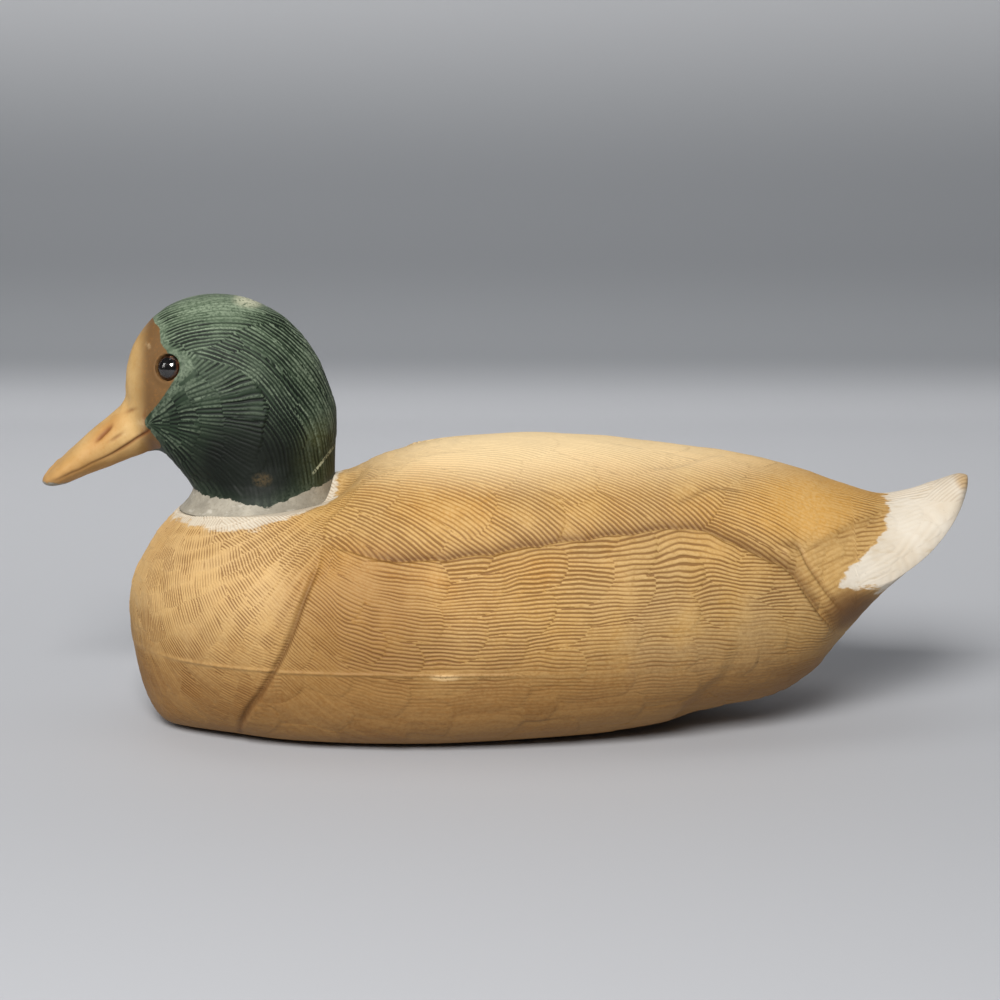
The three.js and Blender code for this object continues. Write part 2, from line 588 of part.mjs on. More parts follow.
function upperShellSolid() {
  const seat = neckPlug(SADDLE.reach, -NECK_SEAT_WALL, NECK_SEAT_WALL);
  const boss = rod(-NECK_BOSS.deep, 0, NECK_BOSS.long / 2, { radiusY: NECK_BOSS.wide / 2 });
  let hollow = hollowSolid().subtract(solidOf(inNeckFrame(seat))).subtract(solidOf(inNeckFrame(boss)));
  seamDowels.forEach(({ x, y }) => {
    const column = rod(SEAM_Z - OVERCUT, SEAM_Z + SEAM_BOSS.high, SEAM_BOSS.across / 2);
    hollow = hollow.subtract(solidOf(column.translate(x, y, 0)));
  });
  const pocket = solidOf(inNeckFrame(neckPlug(NECK_GROOVE, -GLUE_LINE, NECK_JOINT_LENGTH)));
  let shell = hull.intersect(halfSpace(SEAM_Z, 1)).subtract(hollow).subtract(pocket).subtract(neckBores());
  seamDowels.forEach((place) => {
    shell = shell.subtract(seamBore(place));
  });
  return shell;
}

function lowerShellSolid() {
  let hollow = hollowSolid();
  seamDowels.forEach(({ x, y }) => {
    const column = rod(0, SEAM_Z + OVERCUT, SEAM_BOSS.across / 2);
    hollow = hollow.subtract(solidOf(column.translate(x, y, 0)));
  });
  const recess = solidOf(feltSolid(FIT, -FELT_THICKNESS, FELT_THICKNESS));
  let shell = hull.intersect(halfSpace(SEAM_Z, -1)).subtract(hollow).subtract(recess);
  seamDowels.forEach((place) => {
    shell = shell.subtract(seamBore(place));
  });
  return shell;
}

// Head

function softMin(a, b, reach) {
  const share = Math.min(Math.max(0.5 + (0.5 * (b - a)) / reach, 0), 1);
  return b * (1 - share) + a * share - reach * share * (1 - share);
}
const softMax = (a, b, reach) => -softMin(-a, -b, reach);

function stackAt(stack, at) {
  const next = stack.findIndex((row) => row[0] >= at);
  if (next < 0) return stack.at(-1);
  if (next === 0) return stack[0];
  const f = (at - stack[next - 1][0]) / (stack[next][0] - stack[next - 1][0]);
  return stack[next].map((value, column) => value * f + stack[next - 1][column] * (1 - f));
}

function skullDistance(x, y, z) {
  const tilt = THREE.MathUtils.degToRad(SKULL.tilt);
  const u = (x - SKULL.x) * Math.cos(tilt) - (z - SKULL.z) * Math.sin(tilt);
  const w = (x - SKULL.x) * Math.sin(tilt) + (z - SKULL.z) * Math.cos(tilt);
  const scaled = Math.hypot(u / SKULL.long, y / SKULL.halfWidth, w / SKULL.high);
  const slope = Math.hypot(u / SKULL.long ** 2, y / SKULL.halfWidth ** 2, w / SKULL.high ** 2);
  return (scaled * (scaled - 1)) / (slope || 1);
}

// How softly the masses of the head melt together, and how much of the skull the neck enters
const NECK_BLEND = 5;
const BILL_BLEND = 4;
const NECK_END_BLEND = 8;
const BILL_BLEND_SCALE = 8;

// Signed distance to the skin of the head casting, in its own frame
function headDistance(x, y, z) {
  const chin = -CHIN.forward * (x - CHIN.x) - CHIN.down * (z - CHIN.z);
  const skull = softMax(skullDistance(x, y, z), chin, CHIN.softness);
  const [, middle, halfLong, halfWide] = stackAt(NECK_STACK, z);
  const neckSide = (Math.hypot((x - middle) / halfLong, y / halfWide) - 1) * halfWide;
  const neck = softMax(neckSide, z - NECK_TOP, NECK_END_BLEND);
  const [, billMiddle, billHigh, billWide] = stackAt(BILL_STACK, x);
  const tip = Math.max((BILL_TIP_START - x) / BILL_TIP_LENGTH, 0);
  const billSide = (Math.hypot(y / billWide, (z - billMiddle) / billHigh, tip) - 1) * BILL_BLEND_SCALE;
  const bill = Math.max(billSide, x - BILL_ROOT);
  return softMin(softMin(skull, neck, NECK_BLEND), bill, BILL_BLEND);
}

const distanceAt = (point) => headDistance(point.x, point.y, point.z);

// The crossing of the skin on a way out of the solid: walks out, then halves the last step
function skinAlong(from, way) {
  const at = (run) => from.clone().addScaledVector(way, run);
  let near = 0;
  while (distanceAt(at(near + 1)) < 0) near += 1;
  let far = near + 1;
  const halvings = 24;
  for (let halving = 0; halving < halvings; halving += 1) {
    const half = (near + far) / 2;
    if (distanceAt(at(half)) < 0) near = half;
    else far = half;
  }
  return at(near);
}

// Where a section's line of symmetry runs inside the solid, or null where it misses it
function spanOf({ base, across }) {
  const stride = 0.25;
  const count = Math.ceil((4 * SKULL.high) / stride);
  const runs = Array.from({ length: count }, (_, index) => index * stride);
  const inside = runs.filter((run) => distanceAt(base.clone().addScaledVector(across, run)) < 0);
  return inside.length > 0 ? [inside[0], inside.at(-1)] : null;
}

function headRing(section) {
  const [enter, leave] = spanOf(section);
  const middle = section.base.clone().addScaledVector(section.across, (enter + leave) / 2);
  return Array.from({ length: HEAD_SIDES }, (_, side) => {
    const turn = (side / HEAD_SIDES) * 2 * Math.PI;
    const way = section.across.clone().multiplyScalar(-Math.cos(turn)).setY(-Math.sin(turn));
    return skinAlong(middle, way);
  });
}

// Sections of the head. They stand square to the bill from its tip to the throat, fan round a
// line just under the throat, and then run down the neck to lie on the joint. Each has a base
// point outside the solid and a direction across it, both in the plane of symmetry.
function headSections() {
  const wayAt = (angle) => new THREE.Vector3(Math.cos(angle), 0, Math.sin(angle));
  const sectionAt = (base, angle) => ({ base, across: wayAt(angle) });
  const skullMiddle = new THREE.Vector3(SKULL.x, 0, SKULL.z);
  const throatWay = wayAt(Math.PI + THROAT_WAY);
  const throat = skinAlong(skullMiddle, throatWay).addScaledVector(throatWay, THROAT_GAP);
  const billWay = wayAt(Math.PI + BILL_SLOPE);
  const billAngle = Math.PI / 2 + BILL_SLOPE;
  const billSection = (run) => sectionAt(throat.clone().addScaledVector(billWay, run), billAngle);
  const tipStep = 0.05;
  let reach = 0;
  while (spanOf(billSection(reach + tipStep))) reach += tipStep;
  const sections = [];
  for (let step = 0; step < BILL_SECTIONS; step += 1) {
    const fromTip = (1 - Math.cos((step / BILL_SECTIONS) * (Math.PI / 2))) * reach;
    sections.push(billSection(reach - fromTip));
  }
  for (let step = 0; step < FAN_SECTIONS; step += 1) {
    sections.push(sectionAt(throat, billAngle + ((NECK_TILT - billAngle) * step) / FAN_SECTIONS));
  }
  const down = wayAt(NECK_TILT - Math.PI / 2);
  const drop = -throat.dot(down);
  for (let step = 0; step <= NECK_SECTIONS; step += 1) {
    const base = throat.clone().addScaledVector(down, (drop * step) / NECK_SECTIONS);
    sections.push(sectionAt(base, NECK_TILT));
  }
  return sections;
}

const EYE_SIDES = { left: -1, right: 1 };
const DISC_TOP = -EYE_BACK_DEPTH - FIT;
const DISC_BOTTOM = DISC_TOP - EYE_DISC;
const WIRE_TOP = DISC_BOTTOM - FIT;

// The eye's frame stands on the skin with +Z along the eye's axis
function eyeFrame(side) {
  const axis = new THREE.Vector3(
    -Math.sin(EYE_YAW) * Math.cos(EYE_PITCH),
    side * Math.cos(EYE_YAW) * Math.cos(EYE_PITCH),
    Math.sin(EYE_PITCH),
  );
  const inside = new THREE.Vector3(EYE_PLACE.x, (side * SKULL.halfWidth) / 2, EYE_PLACE.z);
  const frame = new THREE.Group();
  frame.position.copy(skinAlong(inside, new THREE.Vector3(0, side, 0)));
  frame.quaternion.setFromUnitVectors(new THREE.Vector3(0, 0, 1), axis);
  frame.updateMatrix();
  return frame;
}

function eyeSocket(side) {
  const frame = eyeFrame(side);
  const seat = rod(WIRE_TOP, EYE_DIAMETER, EYE_DIAMETER / 2 + FIT);
  const wireBottom = WIRE_TOP - EYE_WIRE_LENGTH - FIT;
  const bore = rod(wireBottom, WIRE_TOP + OVERCUT, EYE_WIRE_DIAMETER / 2 + FIT, { sides: SMALL_SIDES });
  return solidOf(seat.applyMatrix4(frame.matrix)).add(solidOf(bore.applyMatrix4(frame.matrix)));
}

function headSolid() {
  const casting = solidOf(loft(headSections().map(headRing)));
  const place = NECK_PLACE.clone().negate().toArray();
  return casting
    .subtract(neckBores().translate(place))
    .subtract(eyeSocket(EYE_SIDES.left))
    .subtract(eyeSocket(EYE_SIDES.right));
}

// Eyes

function eyeGlass() {
  const radius = EYE_DIAMETER / 2;
  const rimTop = -EYE_BACK_DEPTH + EYE_RIM;
  const rise = EYE_DOME_RISE - rimTop;
  const sphere = (radius ** 2 + rise ** 2) / (2 * rise);
  const half = Math.asin(Math.min(radius / sphere, 1));
  const profile = [new THREE.Vector2(0, -EYE_BACK_DEPTH), new THREE.Vector2(radius, -EYE_BACK_DEPTH)];
  for (let step = 0; step <= DOME_STEPS; step += 1) {
    const angle = half * (1 - step / DOME_STEPS);
    const drop = sphere * (1 - Math.cos(angle));
    profile.push(new THREE.Vector2(sphere * Math.sin(angle), EYE_DOME_RISE - drop));
  }
  return new THREE.LatheGeometry(profile, ROUND_SIDES).rotateX(Math.PI / 2);
}

function irisRing() {
  const outer = EYE_DIAMETER / 2 - FIT;
  const inner = PUPIL_DIAMETER / 2 + FIT;
  const profile = [
    new THREE.Vector2(inner, DISC_BOTTOM),
    new THREE.Vector2(outer, DISC_BOTTOM),
    new THREE.Vector2(outer, DISC_TOP),
    new THREE.Vector2(inner, DISC_TOP),
    new THREE.Vector2(inner, DISC_BOTTOM),
  ];
  return new THREE.LatheGeometry(profile, ROUND_SIDES).rotateX(Math.PI / 2);
}

// Runs a plain geometry through the solid kernel, which merges the points along its seams
const sealed = (geometry) => geometryOf(solidOf(geometry));

function eye(sideName) {
  const frame = eyeFrame(EYE_SIDES[sideName]);
  const pupil = rod(DISC_BOTTOM, DISC_TOP, PUPIL_DIAMETER / 2);
  const wire = rod(WIRE_TOP - EYE_WIRE_LENGTH, WIRE_TOP, EYE_WIRE_DIAMETER / 2, { sides: SMALL_SIDES });
  frame.add(
    named(`${sideName}_eye_glass`, sealed(eyeGlass()), clearGlass),
    named(`${sideName}_eye_iris`, sealed(irisRing()), brownEnamel),
    named(`${sideName}_eye_pupil`, sealed(pupil), blackGlass),
    named(`${sideName}_eye_wire`, sealed(wire), steel),
  );
  return frame;
}

// Neck fixings, in the neck joint's tilted frame

function neckFixings() {
  const frame = new THREE.Group();
  frame.position.copy(NECK_PLACE);
  frame.rotation.y = -NECK_TILT;
  const halfDowel = NECK_DOWEL.long / 2;
  const dowel = named('neck_dowel', sealed(rod(-halfDowel, halfDowel, NECK_DOWEL.across / 2)), beech);
  dowel.position.x = NECK_DOWEL.place;

  const washerTop = SCREW_SEAT - FIT;
  const washerLow = washerTop - NECK_WASHER.thick;
  const ring = solidOf(rod(washerLow, washerTop, NECK_WASHER.across / 2))
    .subtract(solidOf(rod(washerLow - OVERCUT, washerTop + OVERCUT, NECK_SCREW_DIAMETER / 2 + FIT)));
  const washer = named('neck_washer', geometryOf(ring), steel);
  washer.position.x = NECK_SCREW_PLACE;

  const headTop = washerLow - FIT;
  const headLow = headTop - NECK_SCREW_HEAD.thick;
  const taper = NECK_SCREW_DIAMETER;
  const shank = rod(headTop - OVERCUT, SCREW_TIP - taper, NECK_SCREW_DIAMETER / 2, { sides: SMALL_SIDES });
  const point = new THREE.CylinderGeometry(SCREW_POINT / 2, NECK_SCREW_DIAMETER / 2, taper, SMALL_SIDES)
    .rotateX(Math.PI / 2)
    .translate(0, 0, SCREW_TIP - taper / 2);
  const hexHead = rod(headLow, headTop, NECK_SCREW_HEAD.across / 2, { sides: 6 });
  const screwSolid = solidOf(shank).add(solidOf(point)).add(solidOf(hexHead));
  const screw = named('neck_screw', geometryOf(screwSolid), steel);
  screw.position.x = NECK_SCREW_PLACE;
  frame.add(dowel, washer, screw);
  return frame;
}

// Assembly

const decoy = new THREE.Group();
decoy.add(
  named('upper_body_shell', geometryOf(upperShellSolid()), resin),
  named('lower_body_shell', geometryOf(lowerShellSolid()), resin),
  named('base_felt', sealed(feltSolid(0, 0, FELT_THICKNESS)), feltCloth),
);
seamDowels.forEach(({ name, x, y }) => {
  const half = SEAM_DOWEL.long / 2;
  const dowel = named(`seam_dowel_${name}`, sealed(rod(-half, half, SEAM_DOWEL.across / 2)), beech);
  dowel.position.set(x, y, SEAM_Z);
  decoy.add(dowel);
});

const headGroup = new THREE.Group();
headGroup.position.copy(NECK_PLACE);
headGroup.add(named('head', geometryOf(headSolid()), greenPaint), eye('left'), eye('right'));
decoy.add(headGroup, neckFixings());

export default decoy;
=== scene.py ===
"""The duck decoy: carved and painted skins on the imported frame, lit in a small studio.

The two body shells and the head are drawn again from the lines of the part's own source, with
their feathers cut in at full size. Plain lengths are in millimetres until a mesh is made.
"""

import math
from functools import cached_property

import bpy
import numpy as np
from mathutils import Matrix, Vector


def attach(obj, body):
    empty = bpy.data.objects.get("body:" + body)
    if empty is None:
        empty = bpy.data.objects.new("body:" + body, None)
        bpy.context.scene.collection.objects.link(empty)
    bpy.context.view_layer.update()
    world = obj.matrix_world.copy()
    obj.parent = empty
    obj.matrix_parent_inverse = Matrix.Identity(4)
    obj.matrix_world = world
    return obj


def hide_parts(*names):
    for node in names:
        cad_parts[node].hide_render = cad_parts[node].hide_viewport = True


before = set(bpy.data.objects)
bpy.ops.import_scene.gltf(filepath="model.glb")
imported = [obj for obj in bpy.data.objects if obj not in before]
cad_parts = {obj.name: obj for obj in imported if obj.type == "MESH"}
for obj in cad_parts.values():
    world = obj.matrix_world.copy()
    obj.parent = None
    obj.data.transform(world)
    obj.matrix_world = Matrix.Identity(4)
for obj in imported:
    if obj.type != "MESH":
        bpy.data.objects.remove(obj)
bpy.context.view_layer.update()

MM = 0.001

# Body lines, as in the part's source
BODY_LENGTH = 276.5
BACK_HEIGHT = 94.6
BODY_BEAM = 116.0
FELT_PROUD = 0.4
SEAM_Z = 28.9
OVERALL_LENGTH = 304.4
TAIL_TIP_X = OVERALL_LENGTH / 2
BREAST_X = TAIL_TIP_X - BODY_LENGTH
NECK_PLACE = np.array([BREAST_X + 44.0, 0.0, 72.9])
NECK_TILT = math.radians(3.7)
NECK_JOINT_RADIUS = 26.0
NECK_JOINT_SHIFT = -1.4
POCKET_RADIUS = 26.4
SADDLE_RISE, SADDLE_REACH, SADDLE_FROM, SADDLE_TO = 0.5, 15.0, 3.0, 15.0
KEEL_LAND = 0.04                  # least breadth of the keel, as a share of the beam
FLAT_SHARE = 0.16                 # share of a section that lies on the flat base
LOWER_SHARE = 0.52                # share of a section that lies below the side line

# Stations from breast to tail: place along the body, top, side line and keel in hundredths of its
# length and height, beam and flat in hundredths of its beam, and the roundness above and below
LINES_PLAN = np.array([
    [0.0, 38.9, 38.9, 38.9, 0.0, 0.0, 2.0, 2.0],
    [0.5, 50.5, 38.9, 25.3, 19.0, 0.0, 2.0, 2.0],
    [2.0, 59.5, 38.9, 8.9, 36.2, 1.7, 2.0, 2.1],
    [4.3, 69.3, 39.5, 1.1, 51.7, 12.1, 2.0, 2.2],
    [8.0, 78.6, 40.0, 0.0, 68.1, 21.6, 2.0, 2.2],
    [13.0, 83.8, 41.1, 0.0, 81.9, 31.9, 2.0, 2.2],
    [18.8, 85.3, 42.1, 0.0, 91.4, 45.7, 2.0, 2.2],
    [25.0, 86.8, 42.1, 0.0, 96.6, 52.6, 2.0, 2.2],
    [31.1, 93.7, 42.1, 0.0, 99.1, 55.2, 2.0, 2.2],
    [38.3, 98.2, 42.1, 0.0, 100.0, 53.4, 2.0, 2.2],
    [46.7, 100.0, 42.6, 0.0, 100.0, 43.1, 2.0, 2.2],
    [55.0, 99.2, 43.2, 0.0, 96.6, 29.3, 2.0, 2.2],
    [62.9, 96.8, 44.2, 1.6, 90.5, 12.1, 2.0, 2.2],
    [70.2, 94.3, 46.3, 6.3, 81.9, 0.0, 2.0, 2.2],
    [75.9, 91.2, 49.5, 8.6, 72.4, 0.0, 2.0, 2.1],
    [80.7, 87.4, 51.6, 15.3, 62.9, 0.0, 1.9, 1.9],
    [85.0, 82.9, 52.6, 27.9, 56.0, 0.0, 1.8, 1.5],
    [89.3, 79.2, 54.7, 45.3, 50.0, 0.0, 1.7, 1.5],
    [93.3, 80.8, 60.8, 63.2, 41.4, 0.0, 1.6, 1.6],
    [96.6, 84.2, 68.9, 76.8, 30.2, 0.0, 1.6, 1.8],
    [98.9, 86.3, 77.9, 83.2, 17.2, 0.0, 1.8, 2.0],
    [100.0, 85.8, 85.8, 85.8, 0.0, 0.0, 2.0, 2.0],
])
LAST_STATION = len(LINES_PLAN) - 1

# Carved edges in side view, in millimetres: x and z
FLANK_TOP = [(-60, 68.5), (-50, 66), (-37, 64.2), (-23, 64), (-8, 65.6), (5, 67.6), (17, 69.2),
             (29, 70.2), (43, 71.2), (54, 72), (62, 70.8), (67, 69), (73, 66.3), (79, 63.2),
             (86, 60), (91, 56), (95, 50), (99, 44.5), (104, 38), (110, 30)]
BREAST_EDGE = [(-57.4, 70), (-58, 63), (-61.8, 53), (-66.6, 40), (-71, 31), (-76, 22),
               (-81.5, 13.5), (-85, 5), (-86, 0)]
MANTLE_EDGE = [(-57.4, 68), (-57, 73), (-52, 77), (-46, 83), (-36, 87), (-29, 90), (-11, 93)]
WING_EDGE = [(92, 62), (95, 64), (104, 67), (113, 70), (121, 71.5), (130, 75)]
LOBE_EDGE = [(76, 52), (74.6, 46), (73, 41), (72.6, 35.5), (71, 31), (68, 25), (64, 21), (59, 15),
             (54, 8)]
TAIL_PAINT = [(126, 78), (125, 74), (124, 71), (120.5, 65), (113, 59.5), (106.5, 54), (106.5, 40)]
TAIL_PAINT_FOOT = 51.5            # the paint ends at this height under the tail

# Head lines, in a frame whose origin is the middle of the neck joint
SKULL_X, SKULL_Z, SKULL_LONG, SKULL_HIGH, SKULL_HALF_WIDTH = -10.2, 34.7, 35.6, 31.7, 22.5
SKULL_TILT = math.radians(48)
CHIN_X, CHIN_Z, CHIN_FORWARD, CHIN_DOWN, CHIN_SOFTNESS = -32.0, 19.0, 0.752, 0.659, 5.0
NECK_TOP, NECK_BLEND, NECK_END_BLEND = 37.2, 5.0, 8.0
BILL_TIP_START, BILL_TIP_LENGTH, BILL_ROOT = -62.5, 9.4, -28.0
BILL_BLEND, BILL_BLEND_SCALE = 4.0, 8.0
BILL_SLOPE, THROAT_WAY, THROAT_GAP = math.radians(30), math.radians(41), 1.2
NECK_STACK = np.array([
    [-8.8, -4.0, 29.0, 31.0], [-2.8, -1.5, 26.5, 28.0], [1.2, 0.2, 24.3, 25.4],
    [5.2, 1.3, 22.9, 23.6], [9.2, 0.9, 23.4, 22.6], [15.2, -0.4, 24.8, 22.0],
    [23.2, 0.4, 24.0, 21.5], [31.2, 1.4, 22.4, 20.5], [39.2, 2.0, 19.5, 19.0],
])
BILL_STACK = np.array([
    [-72.0, 7.0, 3.6, 10.0], [-68.0, 8.8, 4.2, 10.2], [-64.8, 10.7, 4.8, 10.4],
    [-57.0, 15.8, 6.6, 10.2], [-49.4, 20.3, 8.4, 9.4], [-44.4, 23.5, 9.6, 9.4],
    [-37.0, 26.4, 9.4, 10.2], [-26.0, 28.2, 9.4, 11.0],
])
EYE_PLACE = (-27.6, 47.0)
EYE_YAW, EYE_PITCH = math.radians(23), math.radians(12)
EYE_RADIUS, EYE_DOME_RISE, EYE_BACK_DEPTH, EYE_RIM = 4.5, 1.3, 2.4, 0.7
LID_RADIUS, SOCKET_DEPTH = 4.45, EYE_BACK_DEPTH + 1.2
IRIS_BELOW, IRIS_RADIUS, IRIS_BACK_DEPTH = 0.4, 4.4, EYE_BACK_DEPTH - 0.2
PUPIL_BELOW, PUPIL_RADIUS, PUPIL_BACK_DEPTH = 0.25, 3.1, 0.4

# Edges of the head's paint and of its barb fields in side view, in millimetres on the decoy
FACE_EDGE = [(-119, 146), (-115.5, 136), (-113, 133), (-110.9, 131.3), (-110.3, 127.3),
             (-107.9, 124.8), (-106.2, 122.4), (-104.6, 118.2), (-107.1, 113.9), (-110.1, 109.5),
             (-113.2, 105.8), (-115.6, 102.8), (-116, 101.4), (-115, 99.4), (-112.6, 96.4),
             (-111.4, 94.2), (-112.5, 92), (-118, 89.5), (-125, 84), (-125, 70)]
PAINT_FOOT = [(-108, 80.2), (-104, 79.4), (-100.6, 78.6), (-98, 77.6), (-93, 77.7), (-87.9, 77.5),
              (-80.6, 76.3), (-75.7, 75.6), (-70.9, 77.3), (-64.8, 79.4), (-57.7, 81.3), (-54, 81.6)]
CROWN_EDGE = [(-114, 119), (-109, 122), (-106.4, 123.2), (-101.3, 124), (-94.9, 126.2),
              (-88.7, 129.1), (-83.4, 131.7), (-76.1, 132.8), (-70.1, 130.8), (-64.7, 125.8), (-60, 118)]
CHEEK_EDGE = [(-99, 124.6), (-96.3, 122.8), (-91.3, 121.8), (-84.4, 119.4), (-78.9, 114.1),
              (-75.4, 107.8), (-75.6, 104), (-76.9, 100.8), (-78, 95), (-81, 88), (-84, 80), (-86, 72)]
MOUTH = [(-151, 79.6), (-146, 82.0), (-140, 84.6), (-132, 88.2), (-123.5, 92.8), (-117, 97.2),
         (-113.6, 100.2)]


# The head's strokes turn about these places in side view: over the crown, down the nape, and as rays
# from the root of the bill
CROWN_TURN, NAPE_TURN, RAY_ROOT = (-87.7, 79.4), (-108.7, 79.5), (-115.0, 101.0)
RAY_BAND = 1.5                    # each band of rays reaches this much farther than the one before
HEAD_BARB, HEAD_PITCH = 0.46, 1.4
DEEPEST_STROKE = 0.36             # the head's groove reading is 1 at this depth
NOSTRIL = (-130.5, 97.1)
NAIL_X = -149.5
BILL_MARKS = [(-126.0, 95.9, 0.6, 2.6), (-116.4, 102.2, 1.4, 3.6), (-121.5, 104.5, 0.4, 2.2)]


# Plain tools

def smooth(value, low=0.0, high=1.0):
    """A soft step from 0 at low to 1 at high."""
    share = np.clip((value - low) / (high - low), 0, 1)
    return share * share * (3 - 2 * share)


def ridge(distance, reach):
    """1 at no distance, dying away on both sides."""
    return np.exp(-(distance / reach) ** 2)


def chance(*lattice, seed=0):
    """A repeatable number from 0 to 1 for whole lattice places."""
    mixed = np.full(np.broadcast(*lattice).shape, 2654435769 * (seed + 1) % 2 ** 32, np.uint32)
    for place in lattice:
        mixed ^= np.asarray(place).astype(np.int64).astype(np.uint32)
        mixed *= np.uint32(2246822519)
        mixed ^= mixed >> np.uint32(15)
        mixed *= np.uint32(3266489917)
        mixed ^= mixed >> np.uint32(13)
    return mixed / 4294967295.0


def mottle(points, scale, seed=0):
    """Smooth noise from -1 to 1 over space; scale is the size of a blotch."""
    place = points / scale + 97.3
    corner = np.floor(place).astype(np.int64)
    share = place - corner
    share = share * share * (3 - 2 * share)
    total = 0
    for dx in (0, 1):
        for dy in (0, 1):
            for dz in (0, 1):
                weight = (np.abs(1 - dx - share[..., 0]) * np.abs(1 - dy - share[..., 1])
                          * np.abs(1 - dz - share[..., 2]))
                total = total + weight * chance(
                    corner[..., 0] + dx, corner[..., 1] + dy, corner[..., 2] + dz, seed=seed)
    return 2 * total - 1


def lip(distance, low, high, reach):
    """An edge that steps up from low to high and dies away behind itself."""
    return smooth(distance, low, high) * np.exp(-np.maximum(distance, 0) / reach)


def spell(value, rise_from, rise_to, fall_from, fall_to):
    """1 between two soft steps, 0 outside them."""
    return smooth(value, rise_from, rise_to) * smooth(value, fall_to, fall_from)


def on_curve(before, start, end, after, f):
    """A fair curve's place between start and end, at the share f of the way."""
    return (start * (2 * f ** 3 - 3 * f ** 2 + 1) + (end - before) / 2 * (f ** 3 - 2 * f ** 2 + f)
            + end * (3 * f ** 2 - 2 * f ** 3) + (after - start) / 2 * (f ** 3 - f ** 2))


def fair_curve(points, samples=16):
    """A smooth line through the points, as many samples between each two."""
    knots = np.array(points, float)
    padded = np.vstack([2 * knots[0] - knots[1], knots, 2 * knots[-1] - knots[-2]])
    f = np.linspace(0, 1, samples, endpoint=False)[:, None]
    line = [on_curve(*padded[index:index + 4], f) for index in range(len(knots) - 1)]
    return np.vstack(line + [knots[-1:]])


class Edge:
    """A fair line in side view, given by its x and z, and read at any x (key 0) or z (key 1)."""

    def __init__(self, points, key, steepest=math.inf):
        """steepest is the most that the square of the slope may count for in a distance."""
        line = fair_curve(points)
        line = line[np.argsort(line[:, key], kind="stable")]
        self.key, self.steepest = key, steepest
        self.at, self.values = line[:, key], line[:, 1 - key]
        self.slopes = np.gradient(self.values, self.at + 1e-6 * np.arange(len(line)))

    def __call__(self, at):
        """The line's other column at this x or z."""
        return np.interp(at, self.at, self.values)

    def past(self, x, z, shift=0.0):
        """How far a place lies behind the line (key 1) or above it (key 0), square to it."""
        at, value = (z, x) if self.key else (x, z)
        slope = np.interp(at, self.at, self.slopes)
        return (value - self(at) + shift) / np.sqrt(1 + np.minimum(slope ** 2, self.steepest))


flank_top = Edge(FLANK_TOP, 0)
breast_edge = Edge(BREAST_EDGE, 1)
mantle_edge = Edge(MANTLE_EDGE, 1, steepest=6)
wing_edge = Edge(WING_EDGE, 0)
lobe_edge = Edge(LOBE_EDGE, 1)
tail_paint = Edge(TAIL_PAINT, 1)
face_edge = Edge(FACE_EDGE, 1, steepest=9)
paint_foot = Edge(PAINT_FOOT, 0)
crown_edge = Edge(CROWN_EDGE, 0)
cheek_edge = Edge(CHEEK_EDGE, 1)
mouth_line = Edge(MOUTH, 0)


# Body lines

def end_row(end, following):
    """A row past the plan's end that keeps the lines fair there."""
    row = following.copy()
    row[1:5] = 2 * end[1:5] - following[1:5]
    return row


PLAN_ROWS = np.vstack([end_row(LINES_PLAN[0], LINES_PLAN[1]), LINES_PLAN,
                       end_row(LINES_PLAN[-1], LINES_PLAN[-2])])


class Lines:
    """The lines plan read at many stations, one column vector for each line."""

    def __init__(self, station):
        row = np.clip(np.floor(station).astype(int), 0, LAST_STATION - 1)
        f = (station - row)[:, None]
        before, start, end, after = (PLAN_ROWS[row + k] for k in range(4))
        values = on_curve(before, start, end, after, f)
        along, top, side, keel, beam, flat, upper, lower = (values[:, k:k + 1] for k in range(8))
        self.x = BREAST_X + along / 100 * BODY_LENGTH
        self.top = FELT_PROUD + top / 100 * BACK_HEIGHT
        self.side = FELT_PROUD + side / 100 * BACK_HEIGHT
        self.keel = FELT_PROUD + np.maximum(keel, 0) / 100 * BACK_HEIGHT
        self.beam = np.maximum(beam, 0) / 200 * BODY_BEAM
        self.flat = np.maximum(np.maximum(flat, KEEL_LAND * beam), 0) / 200 * BODY_BEAM
        self.upper, self.lower = upper, lower

    def half_section(self, v):
        """Half breadth and height; v runs from 0 at the keel to 1 at the back."""
        low = np.clip((v - FLAT_SHARE) / (LOWER_SHARE - FLAT_SHARE), 0, 1) * math.pi / 2
        high = np.clip((v - LOWER_SHARE) / (1 - LOWER_SHARE), 0, 1) * math.pi / 2
        y_low = self.flat + (self.beam - self.flat) * np.sin(low) ** (2 / self.lower)
        z_low = self.side - (self.side - self.keel) * np.cos(low) ** (2 / self.lower)
        y_high = self.beam * np.maximum(np.cos(high), 0) ** (2 / self.upper)
        z_high = self.side + (self.top - self.side) * np.sin(high) ** (2 / self.upper)
        y_flat = self.flat * np.clip(v / FLAT_SHARE, 0, 1)
        y = np.where(v < FLAT_SHARE, y_flat, np.where(v < LOWER_SHARE, y_low, y_high))
        z = np.where(v < FLAT_SHARE, self.keel, np.where(v < LOWER_SHARE, z_low, z_high))
        return y, z


def ring_stations(fine, coarse, change_x, split):
    """Stations a near even distance apart along the skin, closer before change_x, and with one
    right where the keel crosses the seam at either end."""
    dense = np.linspace(0, LAST_STATION, 12001)
    lines = Lines(dense)
    stride = np.sqrt(np.diff(lines.x[:, 0]) ** 2 + np.diff(lines.top[:, 0]) ** 2 / 4
                     + np.diff(lines.beam[:, 0]) ** 2 / 2)
    middle = (lines.x[1:, 0] + lines.x[:-1, 0]) / 2
    spacing = fine + (coarse - fine) * smooth(middle, change_x - 15, change_x + 15)
    travelled = np.concatenate([[0], np.cumsum(stride / spacing)])
    count = int(travelled[-1])
    goals = (np.arange(count) + 0.5) / count * travelled[-1]
    stations = np.interp(goals, travelled, dense)
    for crossing in split:
        stations[np.argmin(np.abs(stations - crossing))] = crossing
    return stations


